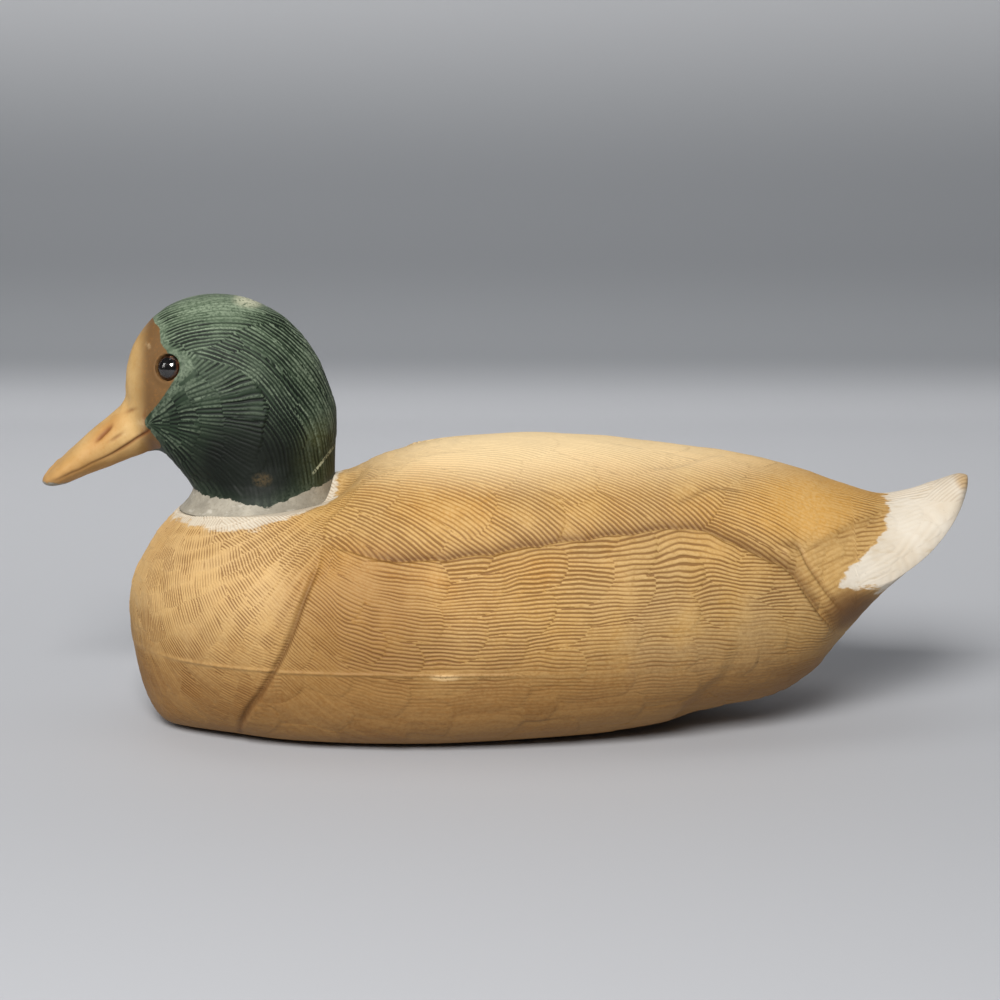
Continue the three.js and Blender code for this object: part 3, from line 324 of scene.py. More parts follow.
def seam_crossings():
    """Stations at which the keel comes down to the seam, and leaves it again."""
    dense = np.linspace(0, LAST_STATION, 24001)
    below = Lines(dense).keel[:, 0] < SEAM_Z
    changes = np.nonzero(below[1:] != below[:-1])[0]
    found = []
    for change in changes:
        low, high = dense[change], dense[change + 1]
        for _ in range(40):
            middle = (low + high) / 2
            inside = Lines(np.array([middle])).keel[0, 0] < SEAM_Z
            if inside == below[change]:
                low = middle
            else:
                high = middle
        found.append((low + high) / 2)
    return found


# Feathers

class Shingles:
    """Overlapping feathers over a chart, the front ones on top.

    along and across are chart places in millimetres. For every place it gives the feather that
    shows there (a whole number), how far ahead of that feather's tip edge it lies, and how far
    to its side, as a share of half its width."""

    def __init__(self, along, across, length, width, seed, rounding, ragged):
        self.length, self.seed = length, seed
        course = np.floor(along / length).astype(np.int64)
        self.course = np.zeros_like(course)
        self.column = np.zeros_like(course)
        self.ahead = np.full(along.shape, length * 1.0)
        self.aside = np.zeros_like(along)
        for step in (3, 2, 1, 0, -1):
            row = course + step
            shift = 0.5 * (row % 2)
            column = np.round(across / width - shift).astype(np.int64)
            sway = (chance(row, column, seed=seed) - 0.5) * 2 * ragged
            lean = (chance(row, column, seed=seed + 1) - 0.5) * 2 * ragged
            aside = (across / width - shift - column - lean * 0.5) * 2
            tip = (row + sway) * length
            edge = tip - rounding * length * (1 - np.sqrt(np.clip(1 - (aside * 0.82) ** 2, 0, 1)))
            shows = along < edge
            self.course[shows] = row[shows]
            self.column[shows] = column[shows]
            self.ahead[shows] = (edge - along)[shows]
            self.aside[shows] = aside[shows]

    def number(self):
        """One whole number for each feather."""
        return (self.course + 512) * 4096 + self.column + 2048

    def luck(self, seed):
        """A number from 0 to 1 for each feather."""
        return chance(self.course, self.column, seed=self.seed + 17 * seed)

    def step(self, edge_run=0.8, power=1.5):
        """Height from 0 at the root to 1 at the tip, with a short fall at the tip edge."""
        rise = np.clip(1 - self.ahead / (1.25 * self.length), 0, 1) ** power
        return rise * smooth(self.ahead, 0, edge_run)


def feather_frame(points, normals, flow, feather):
    """Each point's place within its own feather: to the side of its middle line, upwards where
    that line runs level, and along it; and the feather's number, counted from 0."""
    _, member = np.unique(feather, return_inverse=True)
    member = member.ravel()
    count = member.max() + 1
    share = np.bincount(member, minlength=count)

    def mean(field):
        return np.stack([np.bincount(member, field[:, k], count) / share for k in range(3)], -1)

    middle, way, face = mean(points), unit(mean(flow)), unit(mean(normals))
    across = unit(np.cross(face, way))
    across *= np.where(across[:, 2:] < 0, -1.0, 1.0)
    offset = points - middle[member]
    return np.sum(offset * across[member], -1), np.sum(offset * way[member], -1), member


def barb(phase, sharp):
    """Depth of a groove between barbs, 0 on the barb and 1 at the bottom of the groove; the
    sharper, the narrower the groove."""
    return (0.5 + 0.5 * np.cos(2 * math.pi * phase)) ** sharp


def unit(field):
    """Vectors brought to length 1."""
    return field / (np.linalg.norm(field, axis=-1, keepdims=True) + 1e-12)


def on_skin(direction, normals):
    """Directions laid down on the skin, at length 1."""
    return unit(direction - normals * np.sum(direction * normals, -1, keepdims=True))


def grid_normals(points):
    """Outward normals of a grid of rings (rows, running along the body) and columns."""
    along = np.gradient(points, axis=0)
    around = np.gradient(points, axis=1)
    normals = unit(np.cross(along, around))
    middle = points.mean((0, 1)) * np.array([0, 1, 0])
    outward = np.sum((normals * (points - middle))[..., 1])
    return normals if outward > 0 else -normals


# Carving of the body

# How far each carved mass stands out from the fair hull, or is cut into it
FLANK_RISE, FLANK_DIVE, BREAST_LAP, LOBE_FALL = 1.7, 1.5, 0.7, 0.9
MANTLE_RISE, MANTLE_CUT, WING_RISE, WING_CUT, STRIP_RISE = 0.9, 0.5, 0.5, 0.15, 0.75
SCALLOP = 14.5                    # length of the bays along the flank's upper edge
SCALLOP_RISE = 0.8
STRIP_WIDTH = 5.4                 # the narrow feathers laid over the rear end of the flank
SCAPULAR_CREASES = [[(36, 7), (48, 8), (56, 11), (62.5, 13)], [(48, 22), (57, 18), (63, 13), (71, 5)],
                    [(55, 34), (61, 30), (66, 27), (74, 26)]]
BREAST_FLOW_X = [-124, -117, -107, -94, -80, -72, -62, -56]   # breast to groove
BREAST_FLOW = [0.1, 0.18, 0.47, 0.78, 1.19, 1.6, 2.5, 3.7]    # how level the barbs lie there
FLANK_LEVEL = 68.0                # below this the flank's barbs run level
FLANK_FALL_X = [-70, -62, -52, -41, -30, -15, 0]
FLANK_FALL = [22, 14.4, 7.0, 2.5, 0.65, 0, 0]                 # how far they come down from the groove
BREAST_TURN = 21.6                # they steepen by a factor e in this height
BREAST_BARB, FLANK_BARB, BACK_BARB, TAIL_BARB = 0.27, 0.27, 0.31, 0.12       # depth of the grooves
BREAST_PITCH, FLANK_PITCH, BACK_PITCH, TAIL_PITCH = 1.0, 1.26, 1.36, 1.7     # from barb to barb
BREAST_ROW = 7.0                  # length of the breast's feathers
BACK_LIE = math.radians(36)       # how far the feathers of the back point down
TAIL_RISE = math.radians(26)      # how far the streaks of the tail point up
DEEPEST_BARB = 0.28               # the groove reading is 1 at this depth
FAR_SIDE = 2 ** 25                # added to the numbers of feathers on the far side
FIELD = 2 ** 26                   # feathers of one field are numbered from a multiple of this
SIDE_LINE = Lines(np.linspace(0, LAST_STATION, 2001))


def side_height(x):
    """Height of the side line, where the body is broadest."""
    return np.interp(x, SIDE_LINE.x[:, 0], SIDE_LINE.side[:, 0])


def masses(x, z, sway):
    """Height of the big carved masses above the fair hull, and how far every place lies below the
    flank's edge, behind the breast's, behind the mantle's, above the wing's, behind the lobe's."""
    scallop = SCALLOP_RISE * (np.abs(np.sin(math.pi * (x + 4.0) / SCALLOP)) ** 0.6 - 0.5)
    scallop = scallop * spell(x, -45, -25, 78, 92)
    below_flank = -flank_top.past(x, z, -scallop - sway)
    behind_breast = breast_edge.past(x, z, 0.6 * sway)
    behind_mantle = mantle_edge.past(x, z, 0.6 * sway)
    above_wing = wing_edge.past(x, z)
    behind_lobe = lobe_edge.past(x, z, sway)

    dive = np.exp(np.minimum(below_flank, 0) / 4.5) * smooth(below_flank, 0.6, -0.4)
    flank = (FLANK_RISE * lip(below_flank, -0.3, 1.3, 8)
             - FLANK_DIVE * dive * (0.2 + 0.8 * smooth(x, -56, -32)))
    groove = (0.35 + 0.75 * smooth(z, 66, 54)) * ridge(behind_breast + 0.3, 1.0)
    breast = (BREAST_LAP * lip(behind_breast, -0.5, 1.5, 7) * smooth(below_flank / 6)
              - groove * smooth(1 + below_flank / 6))
    mantle = (MANTLE_RISE * lip(behind_mantle, -0.5, 1.6, 7)
              - MANTLE_CUT * ridge(np.minimum(behind_mantle + 0.5, 0), 4) * (behind_mantle < 1))
    wing = (WING_RISE * lip(above_wing, -0.8, 1.2, 9)
            - WING_CUT * ridge(np.minimum(above_wing, 0), 3) * smooth(above_wing, 0.8, -0.8))
    strip = (spell(below_flank, -STRIP_WIDTH - 0.7, -STRIP_WIDTH + 0.2, -3.2, -1.2)
             - 0.5 * ridge(below_flank + STRIP_WIDTH + 0.8, 0.8))
    lobe = -LOBE_FALL * lip(behind_lobe, -2.6, 2.2, 16)
    height = (flank * smooth(behind_breast / 9) * smooth(x, 109, 99) + breast * smooth(z, 2, 12)
              + mantle * spell(z, 69, 75, 89, 94) + wing * spell(x, 94, 104, 118, 125)
              + STRIP_RISE * strip * spell(x, 86.5, 90, 103, 110) + lobe * spell(z, 4, 12, 28, 46))
    return height, below_flank, behind_breast, behind_mantle, above_wing, behind_lobe


def creases_on_back(x, near):
    """Distance to the nearest of the creases under the scapular feathers, and a share that is 1
    just in front of one."""
    away = np.full(x.shape, 99.0)
    front = np.zeros_like(x)
    for crease in SCAPULAR_CREASES:
        line = fair_curve(crease, 4)
        for (ax, ay), (bx, by) in zip(line[:-1], line[1:]):
            length = math.hypot(bx - ax, by - ay)
            share = ((x - ax) * (bx - ax) + (near - ay) * (by - ay)) / length ** 2
            inside = np.clip(share, 0, 1)
            gap = np.hypot(x - ax - inside * (bx - ax), near - ay - inside * (by - ay))
            left = ((x - ax) * (by - ay) - (near - ay) * (bx - ax)) / length
            closer = gap < away
            away = np.where(closer, gap, away)
            front = np.where(closer, smooth(-left, -0.6, 0.6), front)
    return away, front


def breast_chart(x, z):
    """A number that grows along the breast's barbs, and their angle below the level."""
    level = np.interp(x, BREAST_FLOW_X, BREAST_FLOW)
    steep = np.exp((z - 45) / BREAST_TURN)
    table = np.linspace(-130, -50, 401)
    run = np.concatenate([[0], np.cumsum(np.interp(table[1:], BREAST_FLOW_X, BREAST_FLOW) * 0.2)])
    return np.interp(x, table, run) - steep * BREAST_TURN, np.arctan2(steep, level)


def collar_flare(places, from_axis):
    """How much wider than the neck's joint the white collar is painted, all round."""
    abeam = np.abs(places[:, 1]) / (from_axis + 1)
    behind_neck = places[:, 0] > NECK_JOINT_SHIFT
    return np.where(behind_neck, 5.5 * smooth(abeam, 0.2, 0.7), 4.5 * abeam ** 4 + smooth(abeam, 0.8, 1))


class Plumage:
    """The feathers laid over the body's points, and how the barbs run through each point."""

    def __init__(self, points, normals):
        count = len(points)
        self.points, self.normals = points, normals
        self.x, self.y, self.z = points.T
        self.upward, self.rearward = self.ways_over_skin()
        self.flow = np.zeros_like(points)
        self.feather = np.zeros(count, np.int64)
        self.track = np.full(count, np.nan)
        self.depth, self.pitch, self.arch, self.fan = (np.zeros(count) for _ in range(4))
        self.step, self.tone, self.turned = (np.zeros(count) for _ in range(3))

    def ways_over_skin(self):
        """Straight up the skin at each point, and square to that towards the tail."""
        side_sign = np.where(self.y < 0, -1.0, 1.0)
        on_top = smooth(self.z, 68, 76)[:, None]
        level = 0 * self.x
        inward = np.stack([level, -side_sign * np.clip(np.abs(self.y) / 8, 0, 1), 0.6 + level], -1)
        upward = on_skin(np.stack([level, level, 1 + level], -1), self.normals)
        upward = unit(upward * (1 - on_top) + on_skin(inward, self.normals) * on_top)
        rearward = unit(np.cross(upward, self.normals) * side_sign[:, None])
        return upward, rearward * np.where(rearward[:, :1] < 0, -1.0, 1.0)

    def lay(self, where, field, shingles, way, depth, pitch, arch, fan, rise, bulge):
        """Lays one field's feathers: rise is that of their tips, bulge that of their middles."""
        self.flow[where] = way
        self.feather[where] = shingles.number() + field * FIELD + (self.y[where] < 0) * FAR_SIDE
        self.depth[where] = depth
        self.pitch[where] = pitch
        self.arch[where] = arch * (0.6 + 0.8 * shingles.luck(7))
        self.fan[where] = fan * (2 * shingles.luck(8) - 1)
        self.step[where] = rise * shingles.step() + bulge * (1 - np.minimum(shingles.aside ** 2, 1))
        self.tone[where] = shingles.luck(5) - 0.5
        self.turned[where] = shingles.luck(6)

    def lay_breast(self, here):
        """Short barbs in rows that lie square to them."""
        spots, x, y, z = self.points[here], self.x[here], self.y[here], self.z[here]
        along, fall = breast_chart(x, z)
        level = 0.7 * np.abs(y) + 0.5 * x + 0.57 * z
        shingles = Shingles(along + 1.6 * mottle(spots, 14, seed=21), level + 2 * mottle(spots, 9, seed=22),
                            length=BREAST_ROW, width=9, seed=31, rounding=0.12, ragged=0.38)
        way = on_skin(np.stack([np.cos(fall), 0 * fall, -np.sin(fall)], -1), self.normals[here])
        stroke = np.clip(np.sin(math.pi * np.clip(shingles.ahead / BREAST_ROW, 0, 1)), 0, 1) ** 0.7
        dashes = (0.55 + 0.45 * stroke) * (0.7 + 0.5 * shingles.luck(4))
        depth = BREAST_BARB * (0.3 + 0.7 * smooth(z, 6, 32)) * dashes
        self.lay(here, 1, shingles, way, depth, BREAST_PITCH, arch=0.004, fan=0.14, rise=0.13, bulge=0.08)

    def lay_flank(self, here, below_edge, behind_lobe):
        """Broad feathers whose barbs run level, turning down towards the groove in front."""
        spots, x, z, gap = self.points[here], self.x[here], self.z[here], below_edge[here]
        follow = 0.25 + 0.75 * smooth(1 - gap / 18)
        level = FLANK_LEVEL - z + (np.maximum(flank_top(x), FLANK_LEVEL - 2) - FLANK_LEVEL) * follow
        fall = np.interp(x, FLANK_FALL_X, FLANK_FALL) * (0.65 + 0.35 * smooth(gap / 12))
        ramble = 1.3 * mottle(spots, 15, seed=25) + 0.5 * mottle(spots, 6, seed=20)
        self.track[here] = ramble - fall - level
        slant = np.interp(x, FLANK_FALL_X, np.gradient(FLANK_FALL, FLANK_FALL_X))
        way = unit(self.rearward[here] + slant[:, None] * self.upward[here])
        along = x + 0.25 * gap + 3.0 * mottle(spots, 22, seed=23)
        shingles = Shingles(along, -gap + 1.6 * mottle(spots, 13, seed=24), length=18, width=12.5, seed=41,
                            rounding=0.5, ragged=0.3)
        strong = smooth(z, 12, 38) * (1 - 0.45 * (behind_lobe[here] > 0) * smooth(z, 54, 38))
        strong = strong * (1 - 0.45 * smooth(x, 15, 55) * smooth(48 - z, 0, 12))
        strong = strong * (0.75 + 0.5 * shingles.luck(4))
        self.lay(here, 2, shingles, way, FLANK_BARB * (0.10 + 0.90 * strong), FLANK_PITCH,
                 arch=0.0035, fan=0.06, rise=0.13 + 0.1 * (1 - strong), bulge=0.12 + 0.16 * (1 - strong))

    def lay_back(self, here, girth):
        """Long feathers on back and wing, their barbs slanting down to the rear."""
        spots, x, z, girth = self.points[here], self.x[here], self.z[here], girth[here]
        slant = np.radians(14 + 21 * smooth(92 - z, 0, 20) + 7 * smooth(x, -30, 40))[:, None]
        down_back = np.cos(slant) * self.rearward[here] - np.sin(slant) * self.upward[here]
        arc = on_skin(np.stack([128 - z, 0 * x, x - 110], -1), self.normals[here])
        rear = smooth(x, 52, 84)
        way = unit(down_back * (1 - rear[:, None]) + arc * rear[:, None])
        cos, sin = math.cos(BACK_LIE), math.sin(BACK_LIE)
        shingles = Shingles(x * cos - girth * sin + 4 * mottle(spots, 26, seed=26),
                            x * sin + girth * cos + 2 * mottle(spots, 18, seed=27),
                            length=30, width=19, seed=51, rounding=0.35, ragged=0.3)
        polish = ridge(np.hypot(x - 100, (z - 77) * 1.4), 14)
        depth = BACK_BARB * (1 - 0.55 * smooth(z, 88, 95)) * (1 - 0.8 * polish)
        depth = depth * (1 - 0.45 * smooth(x, 60, 100))
        self.lay(here, 3, shingles, way, depth, BACK_PITCH, arch=0.0055 * (1 - 0.6 * rear), fan=0.03,
                 rise=0.14, bulge=0.08)

    def lay_tail(self, here):
        """Narrow streaks on rump and tail, rising to the rear."""
        spots, x, z = self.points[here], self.x[here], self.z[here]
        cos, sin = math.cos(TAIL_RISE), math.sin(TAIL_RISE)
        way = on_skin(np.tile([cos, 0.0, sin], (len(x), 1)), self.normals[here])
        shingles = Shingles(x * cos + z * sin + 3 * mottle(spots, 8, seed=28),
                            -x * sin + z * cos + 1.2 * mottle(spots, 6, seed=29),
                            length=13, width=5, seed=61, rounding=0.35, ragged=0.4)
        painted = smooth(x - tail_paint(z), -2, 3)
        depth = (TAIL_BARB + 0.10 * mottle(spots, 5, seed=30) ** 2) * (1 - 0.55 * painted)
        self.lay(here, 4, shingles, way, depth, TAIL_PITCH, arch=0.0, fan=0.12, rise=0.16 - 0.06 * painted,
                 bulge=0.10)

    def barbs(self, in_flank):
        """The groove at each point, its depth and the tone of its barb, from the point's phase
        within its own feather or along the flank's tracks."""
        points = self.points
        ramble = 0.5 * mottle(points, 6, seed=11) + 0.25 * mottle(points, 2.7, seed=12)
        side, run, member = feather_frame(points, self.normals, self.flow, self.feather)
        own = np.isnan(self.track)
        line = np.where(own, side * (1 - 0.008 * run) + self.fan * run, self.track + 0.6 * self.fan * run)
        phase = (line + self.arch * run ** 2) / self.pitch
        phase = phase + np.where(own, 1.0, 0.55) * self.turned + ramble * 0.35
        patchy = 1 + 0.5 * mottle(points, 10, seed=73) + 0.35 * mottle(points, 4, seed=77)
        depth = self.depth * (0.7 + 0.5 * chance(np.floor(phase + 0.5), member, seed=75))
        depth = depth * np.clip(patchy, 0.25, 1.4) * (1 - 0.9 * ridge(self.z - SEAM_Z, 1.1))
        tone = self.tone + 1.1 * (chance(np.floor(phase), member, seed=76) - 0.5)
        return barb(phase, np.where(in_flank, 2.2, 1.6)), depth, tone


def carve_body(points, normals, girth):
    """Carved height over the fair hull, and the readings that the finishes need.

    points and normals are (n, 3); girth is the distance along the section from the side line."""
    x, y, z = points.T
    sway = 0.35 * mottle(points, 9, seed=3)
    height, below_flank, behind_breast, behind_mantle, above_wing, behind_lobe = masses(x, z, sway)
    in_breast = np.where(z > 68.5, behind_mantle < 0, behind_breast < 0)
    in_flank = ~in_breast & (below_flank > 0) & (x < 108)
    in_tail = ~in_breast & ~in_flank & (x > 92) & (above_wing < 0)
    plumage = Plumage(points, normals)
    plumage.lay_breast(in_breast)
    plumage.lay_flank(in_flank, below_flank, behind_lobe)
    plumage.lay_back(~in_breast & ~in_flank & ~in_tail, girth)
    plumage.lay_tail(in_tail)
    groove, depth, tone = plumage.barbs(in_flank)

    # Roughness of the casting, which dies away at the flat base, and the creases
    bumps = 0.035 * mottle(points, 1.3, seed=71) + 0.14 * mottle(points, 12, seed=72)
    front_or_low = np.maximum(smooth(x, -100, -116), 0.8 * smooth(z, 34, 24))
    bumps = bumps + 0.09 * mottle(points, 1.7, seed=74) * front_or_low
    relief = plumage.step - groove * depth + bumps
    height = height + relief * smooth(z, FELT_PROUD + 0.5, FELT_PROUD + 6)
    crease_gap, crease_front = creases_on_back(x, np.abs(y))
    folded = 0.30 * crease_front * np.exp(-crease_gap / 5) - 0.2 * ridge(crease_gap, 1.0)
    height = height + folded * (z > 70)
    ruffle = np.abs(np.sin(math.pi * (0.6 * x + 0.8 * z) / 6.5)) - 0.6
    tail_under = spell(x, 118, 126, 149, 152) * ridge(y, 7) * (z < side_height(x))
    height = height * (1 - 0.6 * smooth(x, 138, 150)) + 0.6 * ruffle * tail_under
    # Where the finish paints shade along the carved edges and creases
    crease = (0.9 * ridge(behind_breast, 1.0) * smooth(below_flank + 3, 0, 6) * smooth(z, 64, 54) * (z > 3)
              + 0.9 * np.exp(-np.abs(below_flank + 1.0) / 1.6) * (x < 100) * smooth(x, -54, -34)
              + 0.12 * ridge(behind_lobe - 1.5, 3.0) * smooth(z, 38, 22)
              + 0.2 * ridge(above_wing + 0.8, 1.4) * (x > 98) * (x < 126)
              + 0.5 * ridge(below_flank + STRIP_WIDTH + 0.8, 0.8) * smooth(x, 87, 90) * (x < 108)
              + 0.4 * ridge(crease_gap, 0.9) * (z > 70))

    places = in_neck_frame(points)
    from_axis = np.hypot(places[:, 0] - NECK_JOINT_SHIFT, places[:, 1])
    collar = from_axis - NECK_JOINT_RADIUS - collar_flare(places, from_axis)
    return height, {
        "groove": np.clip(groove * depth / DEEPEST_BARB, 0, 1),
        "tone": tone,
        "crease": np.clip(crease, 0, 1),
        "collar": np.where(places[:, 2] > -12, collar, 40.0),
        "tail": np.minimum(x - tail_paint(z), z - TAIL_PAINT_FOOT + 3.5 * smooth(x, 113, 123)),
    }


def saddle(points):
    """How far the body comes down towards the neck joint, beside the neck."""
    places = in_neck_frame(points)
    away = np.hypot(places[..., 0] - NECK_JOINT_SHIFT, places[..., 1]) - NECK_JOINT_RADIUS
    beside = smooth(np.abs(points[..., 1]), SADDLE_FROM, SADDLE_TO)
    return (1 - smooth(away / SADDLE_REACH)) * beside * np.maximum(places[..., 2] - SADDLE_RISE, 0)


def raised(points, normals, height):
    """The carved skin: points moved out by the height, sideways only where the seam is near."""
    close = ridge(points[..., 2] - SEAM_Z, 2.5)[..., None]
    level = unit(normals * np.array([1, 1, 0]) + 1e-9)
    carved = points + unit(normals * (1 - close) + level * close) * height[..., None]
    carved[..., 2] -= saddle(carved)
    return carved


class Skin:
    """A grid of the hull's skin: rings along the body, columns from the near edge over the far."""

    def __init__(self, stations, edge_share, middle_v, steps):
        """edge_share gives each ring's v at its open edge; middle_v is v at the ring's middle."""
        lines = Lines(stations)
        table_v = np.linspace(0, 1, 501)[None, :]
        y, z = lines.half_section(table_v)
        arc = np.concatenate([np.zeros((len(y), 1)), np.cumsum(np.hypot(np.diff(y), np.diff(z)), 1)], 1)
        edge_v = edge_share(lines, z)
        share = np.concatenate([[0], np.cumsum(steps)])
        share = share / share[-1]
        v = np.zeros((len(y), len(share)))
        girth = np.zeros_like(v)
        for ring in range(len(y)):
            low, high, side = np.interp([edge_v[ring], middle_v, LOWER_SHARE], table_v[0], arc[ring])
            goal = low + (high - low) * share
            v[ring] = np.interp(goal, arc[ring] + 1e-9 * np.arange(501), table_v[0])
            girth[ring] = goal - side
        half_y, half_z = lines.half_section(v)
        half_x = np.repeat(lines.x, v.shape[1], 1)
        near = np.stack([half_x, -half_y, half_z], -1)
        far = near[:, -2::-1] * np.array([1, -1, 1])
        self.points = np.concatenate([near, far], 1)
        self.girth = np.concatenate([girth, girth[:, -2::-1]], 1)
        self.edge_v = edge_v


def seam_share(lines, z_table):
    """v at the seam on each ring, or 0 where the whole ring lies above it."""
    v = np.linspace(0, 1, z_table.shape[1])
    found = np.array([np.interp(SEAM_Z, row + 1e-9 * np.arange(len(row)), v) for row in z_table])
    return np.where(lines.keel[:, 0] >= SEAM_Z - 1e-6, 0.0, found)


def in_neck_frame(points):
    """Places in the tilted frame of the neck joint: ahead and behind, across, above."""
    offset = points - NECK_PLACE
    cos, sin = math.cos(NECK_TILT), math.sin(NECK_TILT)
    return np.stack([offset[..., 0] * cos + offset[..., 2] * sin, offset[..., 1],
                     offset[..., 2] * cos - offset[..., 0] * sin], -1)


def from_neck_frame(places):
    """The way back from the tilted frame of the neck joint."""
    cos, sin = math.cos(NECK_TILT), math.sin(NECK_TILT)
    return np.stack([places[..., 0] * cos - places[..., 2] * sin, places[..., 1],
                     places[..., 2] * cos + places[..., 0] * sin], -1) + NECK_PLACE


def sink_pocket(points, cell=0.45):
    """Cuts the neck's pocket: snaps the skin to the pocket's edge and drops what is inside it."""
    places = in_neck_frame(points)
    ahead, aside = places[..., 0] - NECK_JOINT_SHIFT, places[..., 1]
    radius = np.hypot(ahead, aside)
    above = places[..., 2] > -3
    on_edge = np.abs(radius - POCKET_RADIUS) < cell * 0.6
    scale = np.where(on_edge, POCKET_RADIUS / np.maximum(radius, 1e-6), 1)
    snapped = above & (scale != 1)
    places[..., 0] = np.where(snapped, NECK_JOINT_SHIFT + ahead * scale, places[..., 0])
    places[..., 1] = np.where(snapped, aside * scale, places[..., 1])
    inside = above & (radius < POCKET_RADIUS - cell * 0.6)
    places[..., 2] = np.where(inside, np.minimum(places[..., 2], -0.3), places[..., 2])
    return from_neck_frame(places)


def seam_bead(points):
    """Flash left along the seam: a thin bead, strong ahead of the middle and fading behind."""
    x = points[..., 0]
    level = np.abs(points[..., 2] - SEAM_Z)
    strong = smooth(x, -118, -92) * (1 - smooth(x, -8, 20) * 0.85) * (1 - smooth(x, 80, 100))
    waver = 0.75 + 0.35 * mottle(points, 3.2, seed=81)
    chip = ridge(x + 18.5, 3.6) * (points[..., 1] < 0)
    return (0.42 * strong * waver + 0.5 * chip) * ridge(level, 0.55)


def quads_of(index):
    """Corner numbers of every cell of a grid of vertex numbers."""
    return np.stack([index[:-1, :-1], index[1:, :-1], index[1:, 1:], index[:-1, 1:]], -1).reshape(-1, 4)


def mesh_piece(name, points, faces, readings=None, flats=None):
    """A smooth mesh from points in millimetres, faces as arrays of corners, and readings."""
    used = np.unique(np.concatenate([face.ravel() for face in faces]))
    renumber = np.zeros(len(points), np.int64)
    renumber[used] = np.arange(len(used))
    mesh = bpy.data.meshes.new(name)
    mesh.vertices.add(len(used))
    mesh.vertices.foreach_set("co", (points[used] * MM).astype(np.float32).ravel())
    corners = np.concatenate([renumber[face].ravel() for face in faces])
    sizes = np.concatenate([np.full(len(face), face.shape[1]) for face in faces])
    mesh.loops.add(len(corners))
    mesh.loops.foreach_set("vertex_index", corners.astype(np.int32))
    mesh.polygons.add(len(sizes))
    starts = np.concatenate([[0], np.cumsum(sizes)[:-1]])
    mesh.polygons.foreach_set("loop_start", starts.astype(np.int32))
    mesh.update(calc_edges=True)
    for key, values in (readings or {}).items():
        attribute = mesh.attributes.new(key, "FLOAT", "POINT")
        attribute.data.foreach_set("value", values[used].astype(np.float32))
    if flats is not None:
        layer = mesh.uv_layers.new(name="OFBake")
        layer.data.foreach_set("uv", flats[used][corners].astype(np.float32).ravel())
    mesh.shade_smooth()
    piece = bpy.data.objects.new(name, mesh)
    bpy.context.scene.collection.objects.link(piece)
    return piece


def drop_flat(faces):
    """Leaves out faces whose corners fall together, and turns quads with a pair that does into
    triangles."""
    quads = faces[0]
    same = quads == np.roll(quads, -1, 1)
    pairs = same.sum(1)
    kept = [quads[pairs == 0]]
    for side in range(4):
        chosen = quads[(pairs == 1) & same[:, side]]
        if len(chosen):
            kept.append(np.delete(chosen, side, axis=1))
    return kept + faces[1:]


def fan(hub, ring, way=1):
    """Triangles from a hub to every side of a ring of vertex numbers."""
    return np.stack([np.full(len(ring) - 1, hub), ring[1:], ring[:-1]], -1)[:, ::way]


def carved_grid(skin):
    """A skin's carved points, its readings, its vertex numbers and its flat chart."""
    rings, across = skin.girth.shape
    normals = grid_normals(skin.points)
    height, readings = carve_body(skin.points.reshape(-1, 3), normals.reshape(-1, 3), skin.girth.ravel())
    carved = raised(skin.points, normals, height.reshape(rings, across) + seam_bead(skin.points))
    index = np.arange(rings * across).reshape(rings, across)
    chart = np.meshgrid(np.linspace(0, 1, rings), np.linspace(0, 1, across), indexing="ij")
    return carved, readings, index, np.stack(chart, -1).reshape(-1, 2)


def upper_shell():
    """Back, breast, flanks and tail, open along the seam and with the neck's pocket sunk in."""
    stations = ring_stations(fine=0.34, coarse=0.5, change_x=-45, split=seam_crossings())
    skin = Skin(stations, seam_share, 1.0, np.concatenate([np.full(8, 0.35), np.ones(380)]))
    carved, readings, index, flats = carved_grid(skin)
    rings, across = index.shape
    open_ring = skin.edge_v > 0
    carved[open_ring, 0, 2] = SEAM_Z
    carved[open_ring, -1, 2] = SEAM_Z
    carved[open_ring, :, 2] = np.maximum(carved[open_ring, :, 2], SEAM_Z)
    carved[:, across // 2, 1] = 0
    carved = sink_pocket(carved)
    index[~open_ring, -1] = index[~open_ring, 0]
    carved[~open_ring, 0, 1] = 0
    tips = Lines(np.array([0.0, float(LAST_STATION)]))
    tip_points = np.stack([tips.x[:, 0], np.zeros(2), tips.side[:, 0]], -1)
    fans = [fan(rings * across, index[0]), fan(rings * across + 1, index[-1], -1)]
    readings = {key: np.concatenate([value, [0, 0]]) for key, value in readings.items()}
    return mesh_piece("carved_upper_body", np.vstack([carved.reshape(-1, 3), tip_points]),
                      drop_flat([quads_of(index)[:, ::-1], *fans]), readings,
                      np.vstack([flats, [[0, 0.5], [1, 0.5]]]))


def lower_shell():
    """The pan under the seam, flat where it stands."""
    crossings = seam_crossings()
    stations = ring_stations(fine=0.42, coarse=0.6, change_x=-45, split=crossings)
    stations = stations[(stations >= crossings[0]) & (stations <= crossings[1])]
    columns = np.concatenate([np.full(40, 1.3), np.full(130, 0.55), np.full(8, 0.25)])

    def at_seam(lines, z_table):
        share = seam_share(lines, z_table)
        return np.where(share > 0, share, FLAT_SHARE)

    carved, readings, index, flats = carved_grid(Skin(stations, at_seam, 0.0, columns[::-1]))
    carved[:, 0, 2] = SEAM_Z
    carved[:, -1, 2] = SEAM_Z
    carved[..., 2] = np.clip(carved[..., 2], FELT_PROUD, SEAM_Z)
    return mesh_piece("carved_lower_body", carved.reshape(-1, 3), [quads_of(index)], readings, flats)


# Head

def soft_min(a, b, reach):
    """The lesser of two distances, rounded over where they are close."""
    share = np.clip(0.5 + 0.5 * (b - a) / reach, 0, 1)
    return b * (1 - share) + a * share - reach * share * (1 - share)


